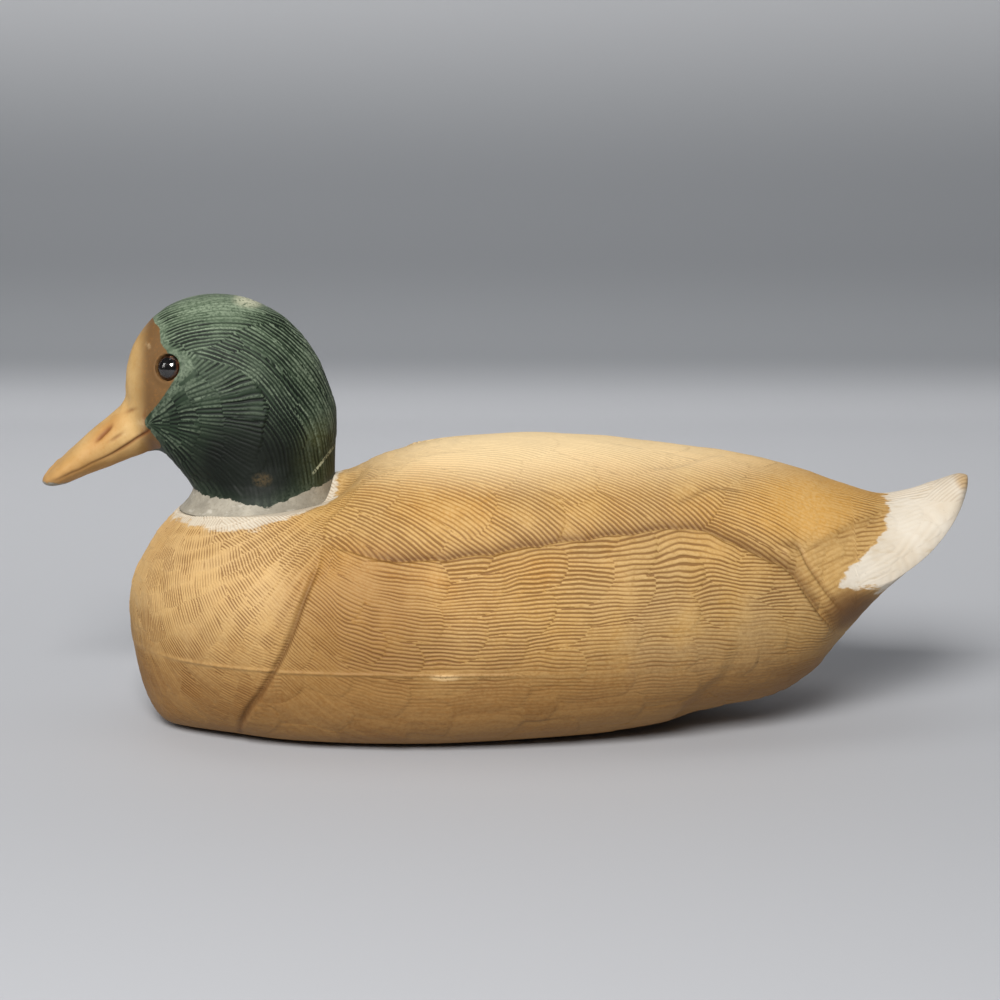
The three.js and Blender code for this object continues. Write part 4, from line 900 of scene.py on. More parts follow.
def head_distance(x, y, z):
    """Signed distance to the fair skin of the head casting, in its own frame."""
    cos, sin = math.cos(SKULL_TILT), math.sin(SKULL_TILT)
    u = (x - SKULL_X) * cos - (z - SKULL_Z) * sin
    w = (x - SKULL_X) * sin + (z - SKULL_Z) * cos
    scaled = np.sqrt((u / SKULL_LONG) ** 2 + (y / SKULL_HALF_WIDTH) ** 2 + (w / SKULL_HIGH) ** 2)
    slope = np.sqrt((u / SKULL_LONG ** 2) ** 2 + (y / SKULL_HALF_WIDTH ** 2) ** 2
                    + (w / SKULL_HIGH ** 2) ** 2)
    skull = scaled * (scaled - 1) / (slope + 1e-9)
    chin = -CHIN_FORWARD * (x - CHIN_X) - CHIN_DOWN * (z - CHIN_Z)
    skull = -soft_min(-skull, -chin, CHIN_SOFTNESS)
    middle, half_long, half_wide = (np.interp(z, NECK_STACK[:, 0], NECK_STACK[:, k]) for k in (1, 2, 3))
    neck = (np.sqrt(((x - middle) / half_long) ** 2 + (y / half_wide) ** 2) - 1) * half_wide
    neck = -soft_min(-neck, -(z - NECK_TOP), NECK_END_BLEND)
    middle, high, wide = (np.interp(x, BILL_STACK[:, 0], BILL_STACK[:, k]) for k in (1, 2, 3))
    tip = np.maximum((BILL_TIP_START - x) / BILL_TIP_LENGTH, 0)
    bill = (np.sqrt((y / wide) ** 2 + ((z - middle) / high) ** 2 + tip ** 2) - 1) * BILL_BLEND_SCALE
    bill = np.maximum(bill, x - BILL_ROOT)
    return soft_min(soft_min(skull, neck, NECK_BLEND), bill, BILL_BLEND)


def skin_along(start, way, reach=64):
    """Where rays leave the casting: start and way are (..., 3), and every start lies inside."""
    low = np.zeros(start.shape[:-1])
    inside = np.ones(start.shape[:-1], bool)
    for _ in range(reach):
        spot = start + way * (low + 1)[..., None]
        inside &= head_distance(spot[..., 0], spot[..., 1], spot[..., 2]) < 0
        low = np.where(inside, low + 1, low)
        if not inside.any():
            break
    high = low + 1
    for _ in range(18):
        middle = (low + high) / 2
        spot = start + way * middle[..., None]
        within = head_distance(spot[..., 0], spot[..., 1], spot[..., 2]) < 0
        low, high = np.where(within, middle, low), np.where(within, high, middle)
    return start + way * low[..., None]


def spans(bases, ways):
    """Where each section's line of symmetry enters and leaves the casting; nan where it misses."""
    runs = np.arange(0, 4 * SKULL_HIGH, 0.25)
    spot = bases[:, None, :] + ways[:, None, :] * runs[None, :, None]
    inside = head_distance(spot[..., 0], spot[..., 1], spot[..., 2]) < 0
    first = runs[np.argmax(inside, 1)]
    last = runs[len(runs) - 1 - np.argmax(inside[:, ::-1], 1)]
    hit = inside.any(1)
    return np.where(hit, first, np.nan), np.where(hit, last, np.nan)


def head_grid(bill_steps, fan_steps, neck_steps, sides):
    """The casting's skin as rings: square to the bill, fanned round the throat, down the neck."""
    def way_at(angle):
        angle = np.asarray(angle, float)
        return np.stack([np.cos(angle), np.zeros_like(angle), np.sin(angle)], -1)

    throat_way = way_at(math.pi + THROAT_WAY)
    middle = np.array([SKULL_X, 0.0, SKULL_Z])
    throat = skin_along(middle[None], throat_way[None])[0] + throat_way * THROAT_GAP
    bill_way = way_at(math.pi + BILL_SLOPE)
    bill_angle = math.pi / 2 + BILL_SLOPE
    trial = np.arange(0, 80, 0.02)
    enter, _ = spans(throat + bill_way * trial[:, None], np.tile(way_at(bill_angle), (len(trial), 1)))
    reach = trial[~np.isnan(enter)][-1]
    from_tip = (1 - np.cos((np.arange(bill_steps) + 0.3) / bill_steps * math.pi / 2)) * reach
    bases = [throat + bill_way * (reach - from_tip)[:, None]]
    angles = [np.full(bill_steps, bill_angle)]
    fan = np.arange(fan_steps) / fan_steps
    bases.append(np.tile(throat, (fan_steps, 1)))
    angles.append(bill_angle + (NECK_TILT - bill_angle) * fan)
    down = way_at(NECK_TILT - math.pi / 2)
    drop = -throat @ down
    bases.append(throat + down * (drop * np.arange(neck_steps + 1) / neck_steps)[:, None])
    angles.append(np.full(neck_steps + 1, NECK_TILT))
    bases, angles = np.vstack(bases), np.concatenate(angles)
    ways = way_at(angles)
    enter, leave = spans(bases, ways)
    centres = bases + ways * ((enter + leave) / 2)[:, None]
    turn = np.arange(sides) / sides * 2 * math.pi
    rays = -np.cos(turn)[None, :, None] * ways[:, None, :]
    rays[..., 1] = -np.sin(turn)[None, :]
    starts = np.repeat(centres[:, None, :], sides, 1)
    return skin_along(starts, rays) + NECK_PLACE


def eye_frame(side):
    """The middle of an eye on the skin, and its axes: across, across, out."""
    start = np.array([[EYE_PLACE[0], side * SKULL_HALF_WIDTH / 2, EYE_PLACE[1]]])
    place = skin_along(start, np.array([[0.0, side, 0.0]]))[0] + NECK_PLACE
    level = math.cos(EYE_PITCH)
    out = np.array([-math.sin(EYE_YAW) * level, side * math.cos(EYE_YAW) * level, math.sin(EYE_PITCH)])
    first = unit(np.cross([0.0, 0.0, 1.0], out))
    return place, np.stack([first, np.cross(out, first), out])


def bill_relief(points):
    """Carving of the bill: the mouth line, the nostrils in their hollows, a few nicks and the nail;
    with the reading of the painted shade in its lines, and that of the painted shade in its hollows."""
    x, y, z = points.T
    beside = smooth(np.abs(y), 1, 4)
    on_bill = smooth(x, -110, -116) * beside
    mouth = mouth_line.past(x, z, 0.25 * mottle(points, 4, seed=90))
    parted = smooth(x, -112.5, -115) * smooth(x, -153, -140) * beside
    parted = parted * (0.45 + 0.55 * smooth(x, -134, -122))
    lumps = 0.16 * mottle(points, 5.5, seed=87) + 0.10 * mottle(points, 2.6, seed=88)
    height = lumps * smooth(x, -108, -118)
    height = height + (0.25 * lip(mouth, -0.2, 0.6, 2.4) - 0.45 * ridge(mouth, 0.6)) * parted
    ahead, above = x - NOSTRIL[0], z - NOSTRIL[1]
    along, across = (ahead + above) * math.sqrt(0.5), (above - ahead) * math.sqrt(0.5)
    nostril = np.exp(-(along / 3.6) ** 4 - (across / 0.8) ** 2) * on_bill
    hollow = np.exp(-(along / 8) ** 2 - (across / 2.8) ** 2) * on_bill
    marks = np.zeros(len(x))
    for mark_x, mark_z, lean, length in BILL_MARKS:
        ahead, above = x - mark_x, z - mark_z
        along = ahead * math.cos(lean) + above * math.sin(lean)
        across = above * math.cos(lean) - ahead * math.sin(lean)
        marks = marks + np.exp(-(along / length) ** 2 - (across / 0.6) ** 2) * on_bill
    nail = np.hypot((x - NAIL_X) / 3.2, y / 3.6)
    height = height - 0.8 * nostril - 0.35 * hollow - 0.3 * marks
    height = height + 0.35 * smooth(1.1 - nail, 0, 0.35) * (z > mouth_line(x))
    return height, np.clip(ridge(mouth, 0.7) * parted + 1.2 * nostril + 0.7 * marks, 0, 1), hollow


def carve_head(points):
    """Carved height over the head's fair skin, and the readings for its paint."""
    x, y, z = points.T
    sway = 0.5 * mottle(points, 7, seed=91) + 0.25 * mottle(points, 2.5, seed=92)
    green = face_edge.past(x, z)
    foot = paint_foot.past(x, z)
    over_crown = z - crown_edge(x) + sway
    behind_cheek = x - cheek_edge(z) + sway
    crown = over_crown > 0
    nape = ~crown & (behind_cheek > 0)
    cheek = ~crown & ~nape

    def pick(on_crown, on_nape, on_cheek):
        return np.where(crown, on_crown, np.where(nape, on_nape, on_cheek))

    def about(place):
        return x - place[0], z - place[1]

    # Strokes are arcs over the crown and down the nape, and rays from the root of the bill
    aside = np.abs(y)
    (xc, zc), (xn, zn), (xr, zr) = about(CROWN_TURN), about(NAPE_TURN), about(RAY_ROOT)
    reach = np.hypot(xr, zr) + 1.5 * mottle(points, 6, seed=99)
    band = np.floor(np.log(np.maximum(reach, 4)) / math.log(RAY_BAND))
    rays = (np.arctan2(zr, xr) + 0.0065 * reach) * RAY_BAND ** (band + 0.5)
    line = pick(np.hypot(xc, zc) - 0.6 * aside, np.hypot(xn, zn) - 0.5 * aside, rays)
    along = pick(np.arctan2(xc, zc) * 50, np.arctan2(xn, zn) * 48, reach)
    family = pick(1, 2, 3) + 4 * np.where(cheek, band, 0)
    shingles = Shingles(along + 5 * mottle(points, 15, seed=101) + 200 * family,
                        line + 1.5 * mottle(points, 9, seed=102),
                        length=26, width=9, seed=111, rounding=0.5, ragged=0.4)
    member = shingles.number() + np.where(y < 0, FAR_SIDE, 0)
    wobble = 0.9 * mottle(points, 11, seed=93) + 0.16 * mottle(points, 3.5, seed=94)
    phase = (line * (1 + 0.05 * (shingles.luck(8) - 0.5)) + wobble) / HEAD_PITCH + 0.6 * shingles.luck(9)
    groove = barb(phase, 1.5)
    stroke = 0.5 + 0.7 * chance(np.floor(phase + 0.5), member, seed=103)
    tone = chance(np.floor(phase), member, seed=104) - 0.5

    # They die away at the paint's edges, round the eye, on the crown and at the cheek's foot
    eye_place, _ = eye_frame(-1)
    from_eye = np.hypot(x - eye_place[0] - 3, z - eye_place[2] + 1)
    depth = HEAD_BARB * stroke * (0.75 + 0.5 * mottle(points, 6, seed=96))
    depth = depth * smooth(green, 0.6, 3.5) * smooth(foot, 0.3, 2.5) * smooth(from_eye, 5.2, 7.5)
    depth = depth * (1 - 0.25 * np.exp(-((x + 97) / 7) ** 2 - ((z - 112) / 5) ** 2))
    depth = depth * (1 - 0.75 * smooth(z, 132, 139)) * (1 - 0.45 * smooth(z, 90, 80))
    depth = np.maximum(depth * (1 - 0.45 * smooth(x, -70, -60)), 0)
    depth = depth * (1 - 0.75 * np.exp(-((x + 81) / 14) ** 2 - ((z - 86) / 11) ** 2))
    edges = 0.34 * lip(-behind_cheek, 0, 0.8, 5) * ~crown * smooth(z, 88, 102)
    edges = edges + 0.30 * lip(over_crown, -0.3, 0.6, 5)
    on_green = smooth(green, 1, 5) * smooth(foot, 0, 3)
    height = (edges + 0.12 * shingles.step()) * on_green - groove * depth
    height = height + 0.12 * mottle(points, 6, seed=97) + 0.03 * mottle(points, 1.3, seed=98)
    on_bill, crease, hollow = bill_relief(points)
    return height + on_bill, {
        "groove": np.clip(groove * depth / DEEPEST_STROKE, 0, 1),
        "green": green,
        "foot": foot,
        "crease": crease,
        "hollow": hollow,
        "tone": tone,
    }


def sink_eyes(points, cell=0.4):
    """Opens the eye sockets and raises a thin lid round each."""
    for side in (-1, 1):
        place, axes = eye_frame(side)
        local = (points - place) @ axes.T
        radius = np.hypot(local[..., 0], local[..., 1])
        close = (radius < 9) & (local[..., 2] > -6)
        edge = close & (np.abs(radius - LID_RADIUS) < cell * 0.6)
        scale = np.where(edge, LID_RADIUS / np.maximum(radius, 1e-6), 1)
        local[..., :2] *= scale[..., None]
        lid = 0.18 * ridge(radius - LID_RADIUS - 0.6, 0.6) - 0.12 * ridge(radius - LID_RADIUS - 2.6, 1.2)
        local[..., 2] += np.where(close & (radius > LID_RADIUS - cell * 0.6), lid, 0)
        inside = close & (radius < LID_RADIUS - cell * 0.6)
        local[..., 2] = np.where(inside, -SOCKET_DEPTH, local[..., 2])
        points = local @ axes + place
    return points


def head_piece():
    """Head, neck and bill in one casting, carved, with sockets for the eyes."""
    grid = head_grid(bill_steps=110, fan_steps=290, neck_steps=46, sides=384)
    closed = np.concatenate([grid[:, -1:], grid, grid[:, :1]], 1)
    normals = -grid_normals(closed)[:, 1:-1]
    rings, sides = grid.shape[:2]
    middle = grid.mean((0, 1))
    if np.mean(np.sum(normals * (grid - middle), -1)) < 0:
        normals = -normals
    height, readings = carve_head(grid.reshape(-1, 3))
    joint = smooth(in_neck_frame(grid)[..., 2], 0, 1.5)
    carved = grid + normals * (height.reshape(rings, sides) * joint)[..., None]
    carved = sink_eyes(carved)
    index = np.arange(rings * sides).reshape(rings, sides)
    index = np.concatenate([index, index[:, :1]], 1)
    fans = [fan(rings * sides, index[0]), fan(rings * sides + 1, index[-1], -1)]
    hubs = np.stack([carved[0].mean(0), carved[-1].mean(0)])
    everything = np.vstack([carved.reshape(-1, 3), hubs])
    readings = {key: np.concatenate([value, [value[0], value[-1]]]) for key, value in readings.items()}
    return mesh_piece("carved_head", everything, [quads_of(index)[:, ::-1], *fans], readings)


def eye_part(side, name, radius, below, back):
    """A part of an eye, turned with fine steps: a cap that lies a little below the dome of the
    glass, closed by a flat back."""
    place, axes = eye_frame(side)
    rise = EYE_DOME_RISE + EYE_BACK_DEPTH - EYE_RIM
    sphere = (EYE_RADIUS ** 2 + rise ** 2) / (2 * rise)
    steps, sides = 22, 72
    angle = math.asin(radius / sphere) * (1 - np.arange(steps) / steps)
    profile = np.stack([sphere * np.sin(angle), EYE_DOME_RISE - below - sphere * (1 - np.cos(angle))], -1)
    profile = np.vstack([[radius, -back], profile])
    turn = np.arange(sides) / sides * 2 * math.pi
    rings = np.stack([profile[:, :1] * np.cos(turn), profile[:, :1] * np.sin(turn),
                      np.repeat(profile[:, 1:], sides, 1)], -1)
    hubs = np.array([[0, 0, -back], [0, 0, EYE_DOME_RISE - below]])
    everything = np.vstack([rings.reshape(-1, 3), hubs]) @ axes + place
    index = np.arange(len(profile) * sides).reshape(-1, sides)
    index = np.concatenate([index, index[:, :1]], 1)
    fans = [fan(len(everything) - 2, index[0]), fan(len(everything) - 1, index[-1], -1)]
    return mesh_piece(name, everything, [quads_of(index)[:, ::-1], *fans])


# Finishes

def colour(red, green, blue):
    """A colour given from 0 to 255, as the shader wants it."""
    def linear(value):
        value /= 255
        return value / 12.92 if value <= 0.04045 else ((value + 0.055) / 1.055) ** 2.4
    return (linear(red), linear(green), linear(blue), 1.0)


class Signal:
    """A number that varies over a surface and takes part in ordinary sums."""

    def __init__(self, finish, socket):
        self.finish, self.socket = finish, socket

    def maths(self, operation, *values, clamp=False):
        """One step of arithmetic as a node."""
        settings = {"operation": operation, "use_clamp": clamp}
        return Signal(self.finish, self.finish.node("ShaderNodeMath", settings, *values))

    def __add__(self, other):
        return self.maths("ADD", self, other)

    def __sub__(self, other):
        return self.maths("SUBTRACT", self, other)

    def __rsub__(self, other):
        return self.maths("SUBTRACT", other, self)

    def __mul__(self, other):
        return self.maths("MULTIPLY", self, other)

    __radd__, __rmul__ = __add__, __mul__

    def clamped(self):
        """Held between 0 and 1."""
        return self.maths("ADD", self, 0.0, clamp=True)

    def soft(self, low, high):
        """0 at low, 1 at high, with soft ends."""
        settings = {"interpolation_type": "SMOOTHSTEP"}
        ranged = self.finish.node("ShaderNodeMapRange", settings, self, low, high, 0.0, 1.0)
        return Signal(self.finish, ranged)


class Finish:
    """A material made of nodes around one Principled shader."""

    def __init__(self, name, **fixed):
        self.material = bpy.data.materials.new(name)
        self.material.use_nodes = True
        self.tree = self.material.node_tree
        self.shader = self.tree.nodes["Principled BSDF"]
        for key, value in fixed.items():
            self.shader.inputs[key.replace("_", " ")].default_value = value
        self.place = self.node("ShaderNodeTexCoord", {}, output="Object")

    def node(self, kind, settings, *values, output=0, **named):
        """Adds a node: its settings first, then its sockets by order or by name."""
        node = self.tree.nodes.new(kind)
        for key, value in settings.items():
            setattr(node, key, value)
        sockets = [*zip(node.inputs, values), *((node.inputs[key], value) for key, value in named.items())]
        for socket, value in sockets:
            self.feed(socket, value)
        return node.outputs[output]

    def feed(self, socket, value):
        """Links a signal or an output to a socket, or sets the socket to a plain value."""
        if isinstance(value, Signal):
            value = value.socket
        if isinstance(value, bpy.types.NodeSocket):
            self.tree.links.new(value, socket)
        else:
            socket.default_value = value

    def paint(self, name, value):
        """Gives one of the shader's inputs a value, a colour or a signal."""
        self.feed(self.shader.inputs[name], value)

    def reading(self, name):
        """A number kept on the mesh's points."""
        return Signal(self, self.node("ShaderNodeAttribute", {"attribute_name": name}, output="Fac"))

    def noise(self, size, detail=3.0, offset=(0, 0, 0), stretch=(1, 1, 1)):
        """Cloudy noise from 0 to 1; size is that of a blotch in millimetres."""
        scale = tuple(1 / (size * MM * part) for part in stretch)
        shifted = self.node("ShaderNodeMapping", {}, Vector=self.place, Scale=scale, Location=offset)
        return Signal(self, self.node("ShaderNodeTexNoise", {}, Vector=shifted, Scale=1.0, Detail=detail,
                                      Roughness=0.55))

    def mix(self, share, first, second):
        """Colours mixed by a share from 0 to 1."""
        node = self.tree.nodes.new("ShaderNodeMix")
        node.data_type = "RGBA"
        self.feed(node.inputs[0], share)
        self.feed(node.inputs[6], first)
        self.feed(node.inputs[7], second)
        return node.outputs[2]

    def coats(self, base, *layers):
        """Colours laid over a base one after another, each by its own share."""
        for share, tint in layers:
            base = self.mix(share, base, tint)
        return base

    def grain(self, signal, height, spread):
        """Fine unevenness under the gloss; height in millimetres."""
        bump = self.node("ShaderNodeBump", {}, Strength=spread, Distance=height * MM, Height=signal)
        self.paint("Normal", bump)

    @cached_property
    def axes(self):
        """Place on the object in millimetres: three signals."""
        parts = [self.node("ShaderNodeSeparateXYZ", {}, self.place, output=axis) for axis in "XYZ"]
        return [Signal(self, part) * (1 / MM) for part in parts]

    def spot(self, x, z, reach, tall=None):
        """A soft round patch in side view, on both sides: 1 in its middle, 0 outside."""
        px, _, pz = self.axes
        dx, dz = (px - x) * (1 / reach), (pz - z) * (1 / (tall or reach))
        return (dx * dx + dz * dz).soft(1.0, 0.0)


def resin_finish():
    """Cast resin the colour of tan wood: pale dust with painted highlights on the barbs, dirt and painted
    shade in the grooves, painted shade in the creases, below and under the tail, pale dust and painted
    light on the top of the back, with white paint on the tail and a few strokes of it below the neck."""
    finish = Finish("carved_resin", Roughness=0.55, IOR=1.38)
    x, _, z = finish.axes
    spot = finish.spot
    groove, tone, crease = (finish.reading(name) for name in ("groove", "tone", "crease"))
    cloud = finish.noise(38, detail=2)
    patch = finish.noise(15, detail=4, offset=(3, 1, 7))
    speck = finish.noise(1.1, detail=4, offset=(9, 2, 4))
    streak = finish.noise(3.4, detail=4, offset=(2, 5, 6), stretch=(2.6, 1, 0.7))
    low, crown = z.soft(50, 16), z.soft(70, 94)

    orange = (patch.soft(0.48, 0.72) * 0.5
              + spot(-28, 52, 36, 14) * 0.55 + spot(-44, 62, 20, 9) * 0.5 + spot(-20, 80, 22, 9) * 0.45
              + spot(-48, 50, 24, 24) * 0.6 + spot(60, 74, 18, 9) * 0.4 + spot(10, 62, 30, 5) * 0.4)
    dusty = spot(62, 40, 46, 28) * 0.9 + spot(40, 26, 44, 16) * 0.6 + spot(-112, 34, 26, 30) * 0.4
    stained = (tone * 0.5 + 0.5).clamped() * 0.36 * (1 - 0.5 * low)
    # Pale dust on the barbs with painted highlights: more on the top of the back, less towards the bottom
    ridge_dust_and_highlight = (1 - groove).soft(0.5, 1.0) * speck.soft(0.28, 0.66) * (0.36 + 0.2 * crown - 0.26 * low)
    shaded = spot(-46, 44, 34, 30) * 0.55 + x.soft(-64, -90) * z.soft(20, 50) * 0.06
    # Darker brown paint and painted shade under the overhanging tail
    under_tail_paint_and_shade = spot(112, 43, 13, 11) * 0.9 + spot(96, 18, 30, 13) * 0.25
    base = finish.coats(
        finish.mix(cloud.soft(0.35, 0.68), colour(168, 132, 79), colour(174, 132, 67)),
        (orange.clamped() * 0.62, colour(174, 118, 36)),
        (spot(96, 76, 28, 12) * 0.8, colour(198, 144, 60)),  # polished rump
        ((dusty * patch.soft(0.25, 0.7)).clamped() * 0.8, colour(148, 122, 86)),
        (x.soft(-56, -78) * z.soft(16, 56) * 0.42, colour(222, 188, 138)),  # pale breast
        (low * 0.85, colour(118, 76, 28)),  # painted shade: darker and browner towards the bottom
        (stained, colour(204, 164, 100)),
        (ridge_dust_and_highlight, colour(214, 182, 126)),
        (shaded.clamped(), colour(134, 96, 50)),
        # dirt and painted shade in the grooves, less on the top of the back
        (groove.soft(0.08, 0.8) * (0.7 - 0.26 * crown), colour(104, 66, 26)),
        # painted shade along the carved edges and creases
        (crease * 0.66, colour(84, 50, 20)),
        (z.soft(80, 96) * 0.6, colour(250, 228, 184)),  # pale dust and painted light on the top of the back
        (speck.soft(0.6, 0.8) * 0.18, colour(120, 84, 42)),
        (under_tail_paint_and_shade.clamped(), colour(108, 72, 36)),
        (spot(-18.6, 28.2, 6, 1.5) * speck.soft(0.25, 0.5), colour(214, 180, 128)))  # chip at the seam
    white = finish.coats(
        finish.mix(patch.soft(0.3, 0.7), colour(212, 204, 190), colour(202, 191, 173)),
        (streak.soft(0.55, 0.75) * 0.45, colour(186, 166, 134)),
        (speck.soft(0.62, 0.8) * 0.3, colour(144, 140, 132)))
    tail = (finish.reading("tail") + (streak - 0.5) * 9 + (speck - 0.5) * 1.5).soft(-0.5, 0.9)
    worn_tip = spot(151, 80.5, 4.5, 3.2) * patch.soft(0.2, 0.5)
    collar = (2.1 + (streak - 0.5) * 6 + (speck - 0.5) * 3 - finish.reading("collar")).soft(-0.8, 0.8)
    collar = collar * (1 - spot(-106.5, 73.4, 3.4, 2.4))
    base = finish.coats(base, (tail * (1 - 0.75 * worn_tip) * (0.96 - 0.25 * groove), white),
                        (collar * (0.92 - 0.5 * groove), colour(206, 198, 182)))
    finish.paint("Base Color", base)
    finish.paint("Roughness", 0.52 + 0.16 * speck + 0.08 * groove)
    finish.grain(finish.noise(0.55), 0.05, 0.6)
    return finish.material


def head_finish():
    """Dark green paint over carved barbs, bare face and bill, and an off-white neck band."""
    finish = Finish("painted_head", Roughness=0.5, IOR=1.3)
    x, _, z = finish.axes
    spot = finish.spot
    groove, crease, hollow = (finish.reading(name) for name in ("groove", "crease", "hollow"))
    green, foot, tone = (finish.reading(name) for name in ("green", "foot", "tone"))
    speck = finish.noise(0.9, detail=4)
    patch = finish.noise(7, detail=4, offset=(5, 2, 1))
    streak = finish.noise(3.0, detail=4, offset=(1, 8, 3), stretch=(1.2, 1.2, 0.5))
    cloudy = patch.soft(0.3, 0.7)

    # Painted light: the green paler towards the top of the head
    top = z.soft(108, 138)
    shade = (z.soft(104, 82) * 0.5 + spot(-82, 92, 24, 18) * 0.8).clamped()
    # Pale dust on the barbs with painted highlights: more towards the top and the nape, less in the painted
    # shade
    ridge_dust_and_highlight = (1 - groove).soft(0.6, 1.0) * speck.soft(0.25, 0.65)
    ridge_dust_and_highlight = ridge_dust_and_highlight * (0.19 + 0.45 * tone + 0.26 * top + 0.2 * x.soft(-80, -64)) * (1 - 0.8 * shade)
    off, run = (x + 59) * 0.754 - (z - 88.4) * 0.657, (x + 59) * 0.657 + (z - 88.4) * 0.754
    scratch = (off * off).soft(0.3, 0.02) * (run * run).soft(30, 12) * speck.soft(0.38, 0.55)
    paint = finish.coats(
        finish.mix(cloudy, colour(31, 44, 31), colour(39, 54, 38)),
        # painted light towards the top
        (top * 0.5, colour(86, 104, 80)),
        (spot(-60, 90, 12, 14) * patch.soft(0.25, 0.65) * 0.7, colour(70, 74, 38)),  # olive nape
        (ridge_dust_and_highlight.clamped(), colour(148, 162, 138)),
        # painted shade in the grooves
        (groove.soft(0.08, 0.7) * 0.92, colour(9, 16, 11)),
        (shade * 0.9, colour(6, 10, 6)),
        (spot(-77.8, 84.2, 4, 2.8) * speck.soft(0.3, 0.7) * 0.6, colour(88, 72, 44)),
        (scratch * 0.8, colour(176, 178, 148)),
        (spot(-81, 140.5, 8, 3.4) * speck.soft(0.32, 0.5) * 0.8, colour(206, 204, 176)))  # painted highlight on the top of the crown
    bare = finish.coats(
        finish.mix(cloudy, colour(184, 148, 92), colour(196, 162, 108)),
        (x.soft(-121, -114), colour(106, 78, 46)),  # painted shade: the face darker than the bill
        # painted shade in the hollows by the nostrils, and brown specks
        ((hollow * 0.5 + speck.soft(0.5, 0.75) * 0.2).clamped(), colour(172, 110, 46)),
        (z.soft(98, 80) * 0.4, colour(172, 114, 52)),
        # painted shade in the mouth line, nostrils and nicks
        (crease * 0.8, colour(110, 60, 24)),
        (patch.soft(0.62, 0.8) * 0.35, colour(216, 190, 146)))
    band = finish.coats(
        finish.mix(cloudy, colour(142, 136, 123), colour(170, 163, 148)),
        (speck.soft(0.48, 0.75) * 0.4, colour(112, 104, 88)),
        (streak.soft(0.55, 0.75) * 0.5, colour(206, 200, 188)))

    below = (foot + (streak - 0.5) * 3.2 + (speck - 0.5) * 0.8).soft(0.12, -0.12)
    ahead = (green + (speck - 0.5) * 0.6 + (patch - 0.5) * 1.0).soft(0.12, -0.12)
    finish.paint("Base Color", finish.coats(paint, (below, band), (ahead * (1 - below), bare)))
    finish.paint("Roughness", 0.46 + 0.22 * speck)
    finish.grain(finish.noise(0.5), 0.04, 0.5)
    return finish.material


def glass_finish():
    """Thin clear glass: light goes straight through to the iris, and the surface only shines."""
    return Finish("eye_glass", Roughness=0.02, IOR=1.04, Transmission_Weight=1.0, Coat_Weight=1.0,
                  Coat_Roughness=0.02, Coat_IOR=1.42, Base_Color=(1, 1, 1, 1)).material


def plain_finish(name, tint, other, size, **fixed):
    """A plain finish with a little cloud in its colour and fine grain."""
    finish = Finish(name, **fixed)
    finish.paint("Base Color", finish.mix(finish.noise(size).soft(0.3, 0.7), tint, other))
    finish.grain(finish.noise(size / 6, detail=2), 0.03, 0.4)
    return finish.material


def beech_finish():
    """Turned beech: long pale grain with brown flecks."""
    finish = Finish("beech_pin", Roughness=0.6)
    grain = finish.noise(1.2, detail=4, stretch=(1, 1, 9))
    fleck = finish.noise(0.7, detail=2, stretch=(1, 1, 5), offset=(4, 4, 4))
    base = finish.mix(grain, colour(214, 176, 128), colour(188, 144, 96))
    finish.paint("Base Color", finish.mix(fleck.soft(0.62, 0.7) * 0.6, base, colour(140, 96, 60)))
    finish.grain(grain, 0.05, 0.5)
    return finish.material


def recoat(names, finish):
    """Gives CAD nodes that keep their own mesh a finish."""
    for name in names:
        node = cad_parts[name]
        node.data.materials.clear()
        node.data.materials.append(finish)


def dress(piece, finish, node):
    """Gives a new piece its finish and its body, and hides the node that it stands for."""
    piece.data.materials.clear()
    piece.data.materials.append(finish)
    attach(piece, "root")
    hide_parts(node)


# Studio

SHEET_HALF_WIDTH, SHEET_FRONT, SHEET_BEND, SHEET_BEND_RADIUS, SHEET_TOP = 1.6, -1.2, 0.6, 0.25, 1.6
AIR_COLOUR, AIR_STRENGTH = (0.93, 0.96, 1.0, 1.0), 0.09
LAMPS = [   # name, place, breadth and height in metres, watts, tint; all aimed at AIM
    ("key_softbox", (-0.17, -1.06, 0.86), (0.5, 0.5), 22.0, (1.0, 0.985, 0.96)),
    ("side_softbox", (-1.1, -0.35, 0.55), (0.35, 0.5), 2.3, (1.0, 0.99, 0.97)),
    ("top_softbox", (0.0, 0.1, 1.3), (0.9, 0.7), 1.9, (1.0, 0.99, 0.97)),
]
AIM = Vector((0.0, 0.0, 0.05))
CAMERA_RISE, CAMERA_DISTANCE, CAMERA_TARGET = math.radians(11), 0.8, Vector((-1.65 * MM, 0.0, 73.3 * MM))
SENSOR, FOCAL = 36, 2.424             # FOCAL is in breadths of the sensor


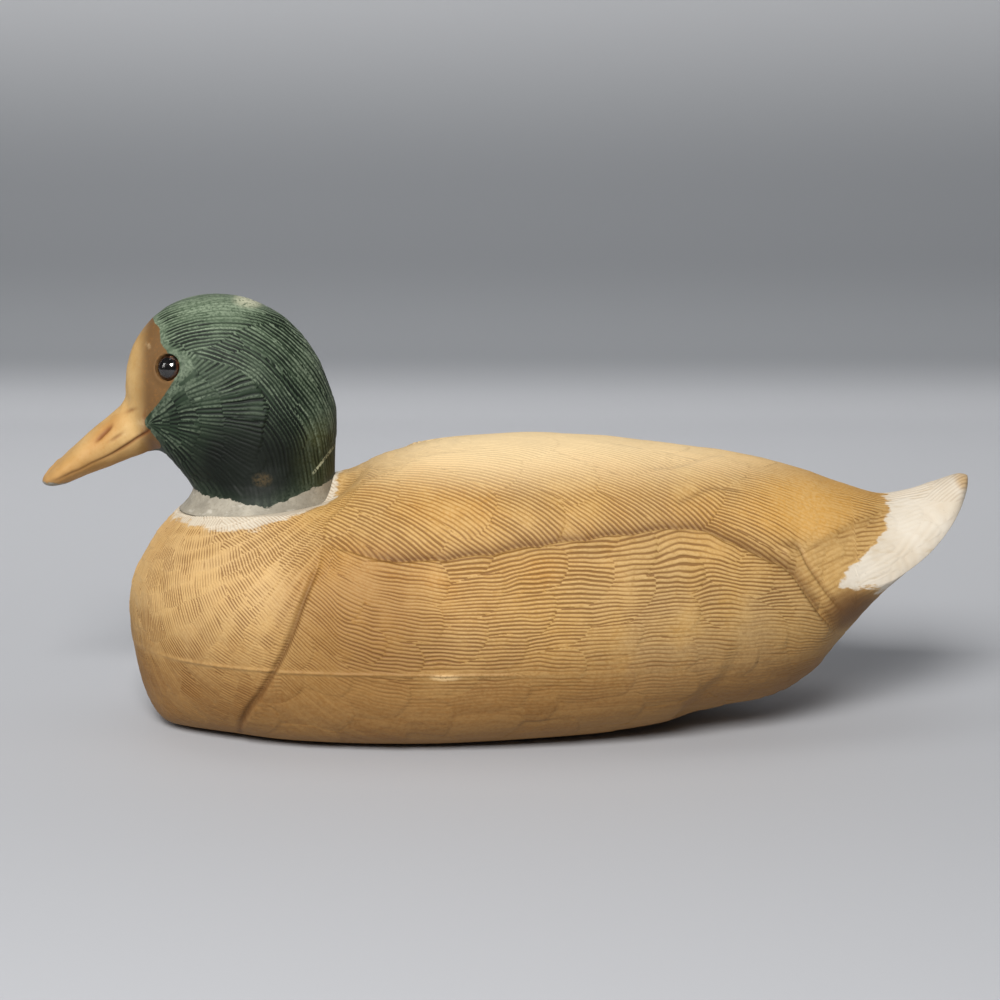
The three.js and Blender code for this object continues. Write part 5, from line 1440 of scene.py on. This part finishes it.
def studio_sheet():
    """A grey sheet that runs under the decoy and sweeps up behind it, with painted light and shade on it.
    """
    turns = [step / 12 * math.pi / 2 for step in range(13)]
    sweep = [(SHEET_FRONT, 0.0)]
    sweep += [(SHEET_BEND + SHEET_BEND_RADIUS * math.sin(turn), SHEET_BEND_RADIUS * (1 - math.cos(turn)))
              for turn in turns]
    sweep.append((SHEET_BEND + SHEET_BEND_RADIUS, SHEET_TOP))
    verts = [(side * SHEET_HALF_WIDTH, depth, level) for depth, level in sweep for side in (-1, 1)]
    faces = [(2 * k, 2 * k + 1, 2 * k + 3, 2 * k + 2) for k in range(len(sweep) - 1)]
    mesh = bpy.data.meshes.new("studio_sheet")
    mesh.from_pydata(verts, [], faces)
    mesh.shade_smooth()
    sheet = bpy.data.objects.new("studio_sheet", mesh)
    bpy.context.scene.collection.objects.link(sheet)
    finish = Finish("studio_paper", Roughness=0.7)
    _, depth, level = finish.axes
    finish.paint("Base Color", finish.coats(
        colour(177, 179, 184),
        # painted light: the floor paler farther back
        (depth.soft(-150, 600), colour(230, 232, 237)),
        # painted shade up the sweep, paler again near its top
        (level.soft(-5, 28), colour(160, 163, 168)),
        (level.soft(25, 85), colour(141, 144, 149)),
        (level.soft(120, 310), colour(200, 202, 206))))
    mesh.materials.append(finish.material)


def lights():
    """A broad lamp ahead and above, weak ones from the left and from overhead, and dim air."""
    world = bpy.data.worlds.new("studio_air")
    world.use_nodes = True
    air = world.node_tree.nodes["Background"]
    air.inputs["Color"].default_value = AIR_COLOUR
    air.inputs["Strength"].default_value = AIR_STRENGTH
    bpy.context.scene.world = world
    for name, place, size, watts, tint in LAMPS:
        light = bpy.data.lights.new(name, "AREA")
        light.shape = "RECTANGLE"
        light.size, light.size_y = size
        light.energy = watts
        light.color = tint
        holder = bpy.data.objects.new(name, light)
        holder.location = place
        holder.rotation_euler = (AIM - Vector(place)).to_track_quat("-Z", "Y").to_euler()
        bpy.context.scene.collection.objects.link(holder)


def look():
    """The photographer's place: level with the decoy's near side, a little above."""
    scene = bpy.context.scene
    scene.view_settings.view_transform = "Standard"
    lens = bpy.data.cameras.new("camera")
    lens.sensor_width = SENSOR
    lens.lens = SENSOR * FOCAL
    lens.clip_start = 0.01
    holder = bpy.data.objects.new("camera", lens)
    sight = Vector((0, math.cos(CAMERA_RISE), -math.sin(CAMERA_RISE)))
    holder.location = CAMERA_TARGET - CAMERA_DISTANCE * sight
    holder.rotation_euler = (math.pi / 2 - CAMERA_RISE, 0, 0)
    scene.collection.objects.link(holder)
    scene.camera = holder


look()
studio_sheet()
lights()
resin = resin_finish()
dress(upper_shell(), resin, "upper_body_shell")
dress(lower_shell(), resin, "lower_body_shell")
dress(head_piece(), head_finish(), "head")
glass = glass_finish()
iris = plain_finish("iris_enamel", colour(70, 38, 20), colour(44, 24, 12), 1.2, Roughness=0.12, IOR=1.4)
pupil = plain_finish("pupil_enamel", colour(8, 7, 7), colour(14, 12, 12), 1.5, Roughness=0.06, IOR=1.5)
for side, eye in ((-1, "left"), (1, "right")):
    dress(eye_part(side, f"{eye}_glass_dome", EYE_RADIUS, 0, EYE_BACK_DEPTH), glass,
          f"{eye}_eye_glass")
    dress(eye_part(side, f"{eye}_iris_cup", IRIS_RADIUS, IRIS_BELOW, IRIS_BACK_DEPTH), iris,
          f"{eye}_eye_iris")
    dress(eye_part(side, f"{eye}_pupil_cup", PUPIL_RADIUS, PUPIL_BELOW, PUPIL_BACK_DEPTH), pupil,
          f"{eye}_eye_pupil")
recoat(["left_eye_wire", "right_eye_wire", "neck_washer", "neck_screw"],
       plain_finish("bright_steel", colour(176, 178, 180), colour(150, 152, 156), 2.0, Metallic=1.0,
                    Roughness=0.3))
recoat(["neck_dowel", "seam_dowel_front_left", "seam_dowel_front_right", "seam_dowel_rear_left",
        "seam_dowel_rear_right"], beech_finish())
recoat(["base_felt"],
       plain_finish("brown_felt", colour(84, 62, 44), colour(66, 48, 34), 1.5, Roughness=0.95))
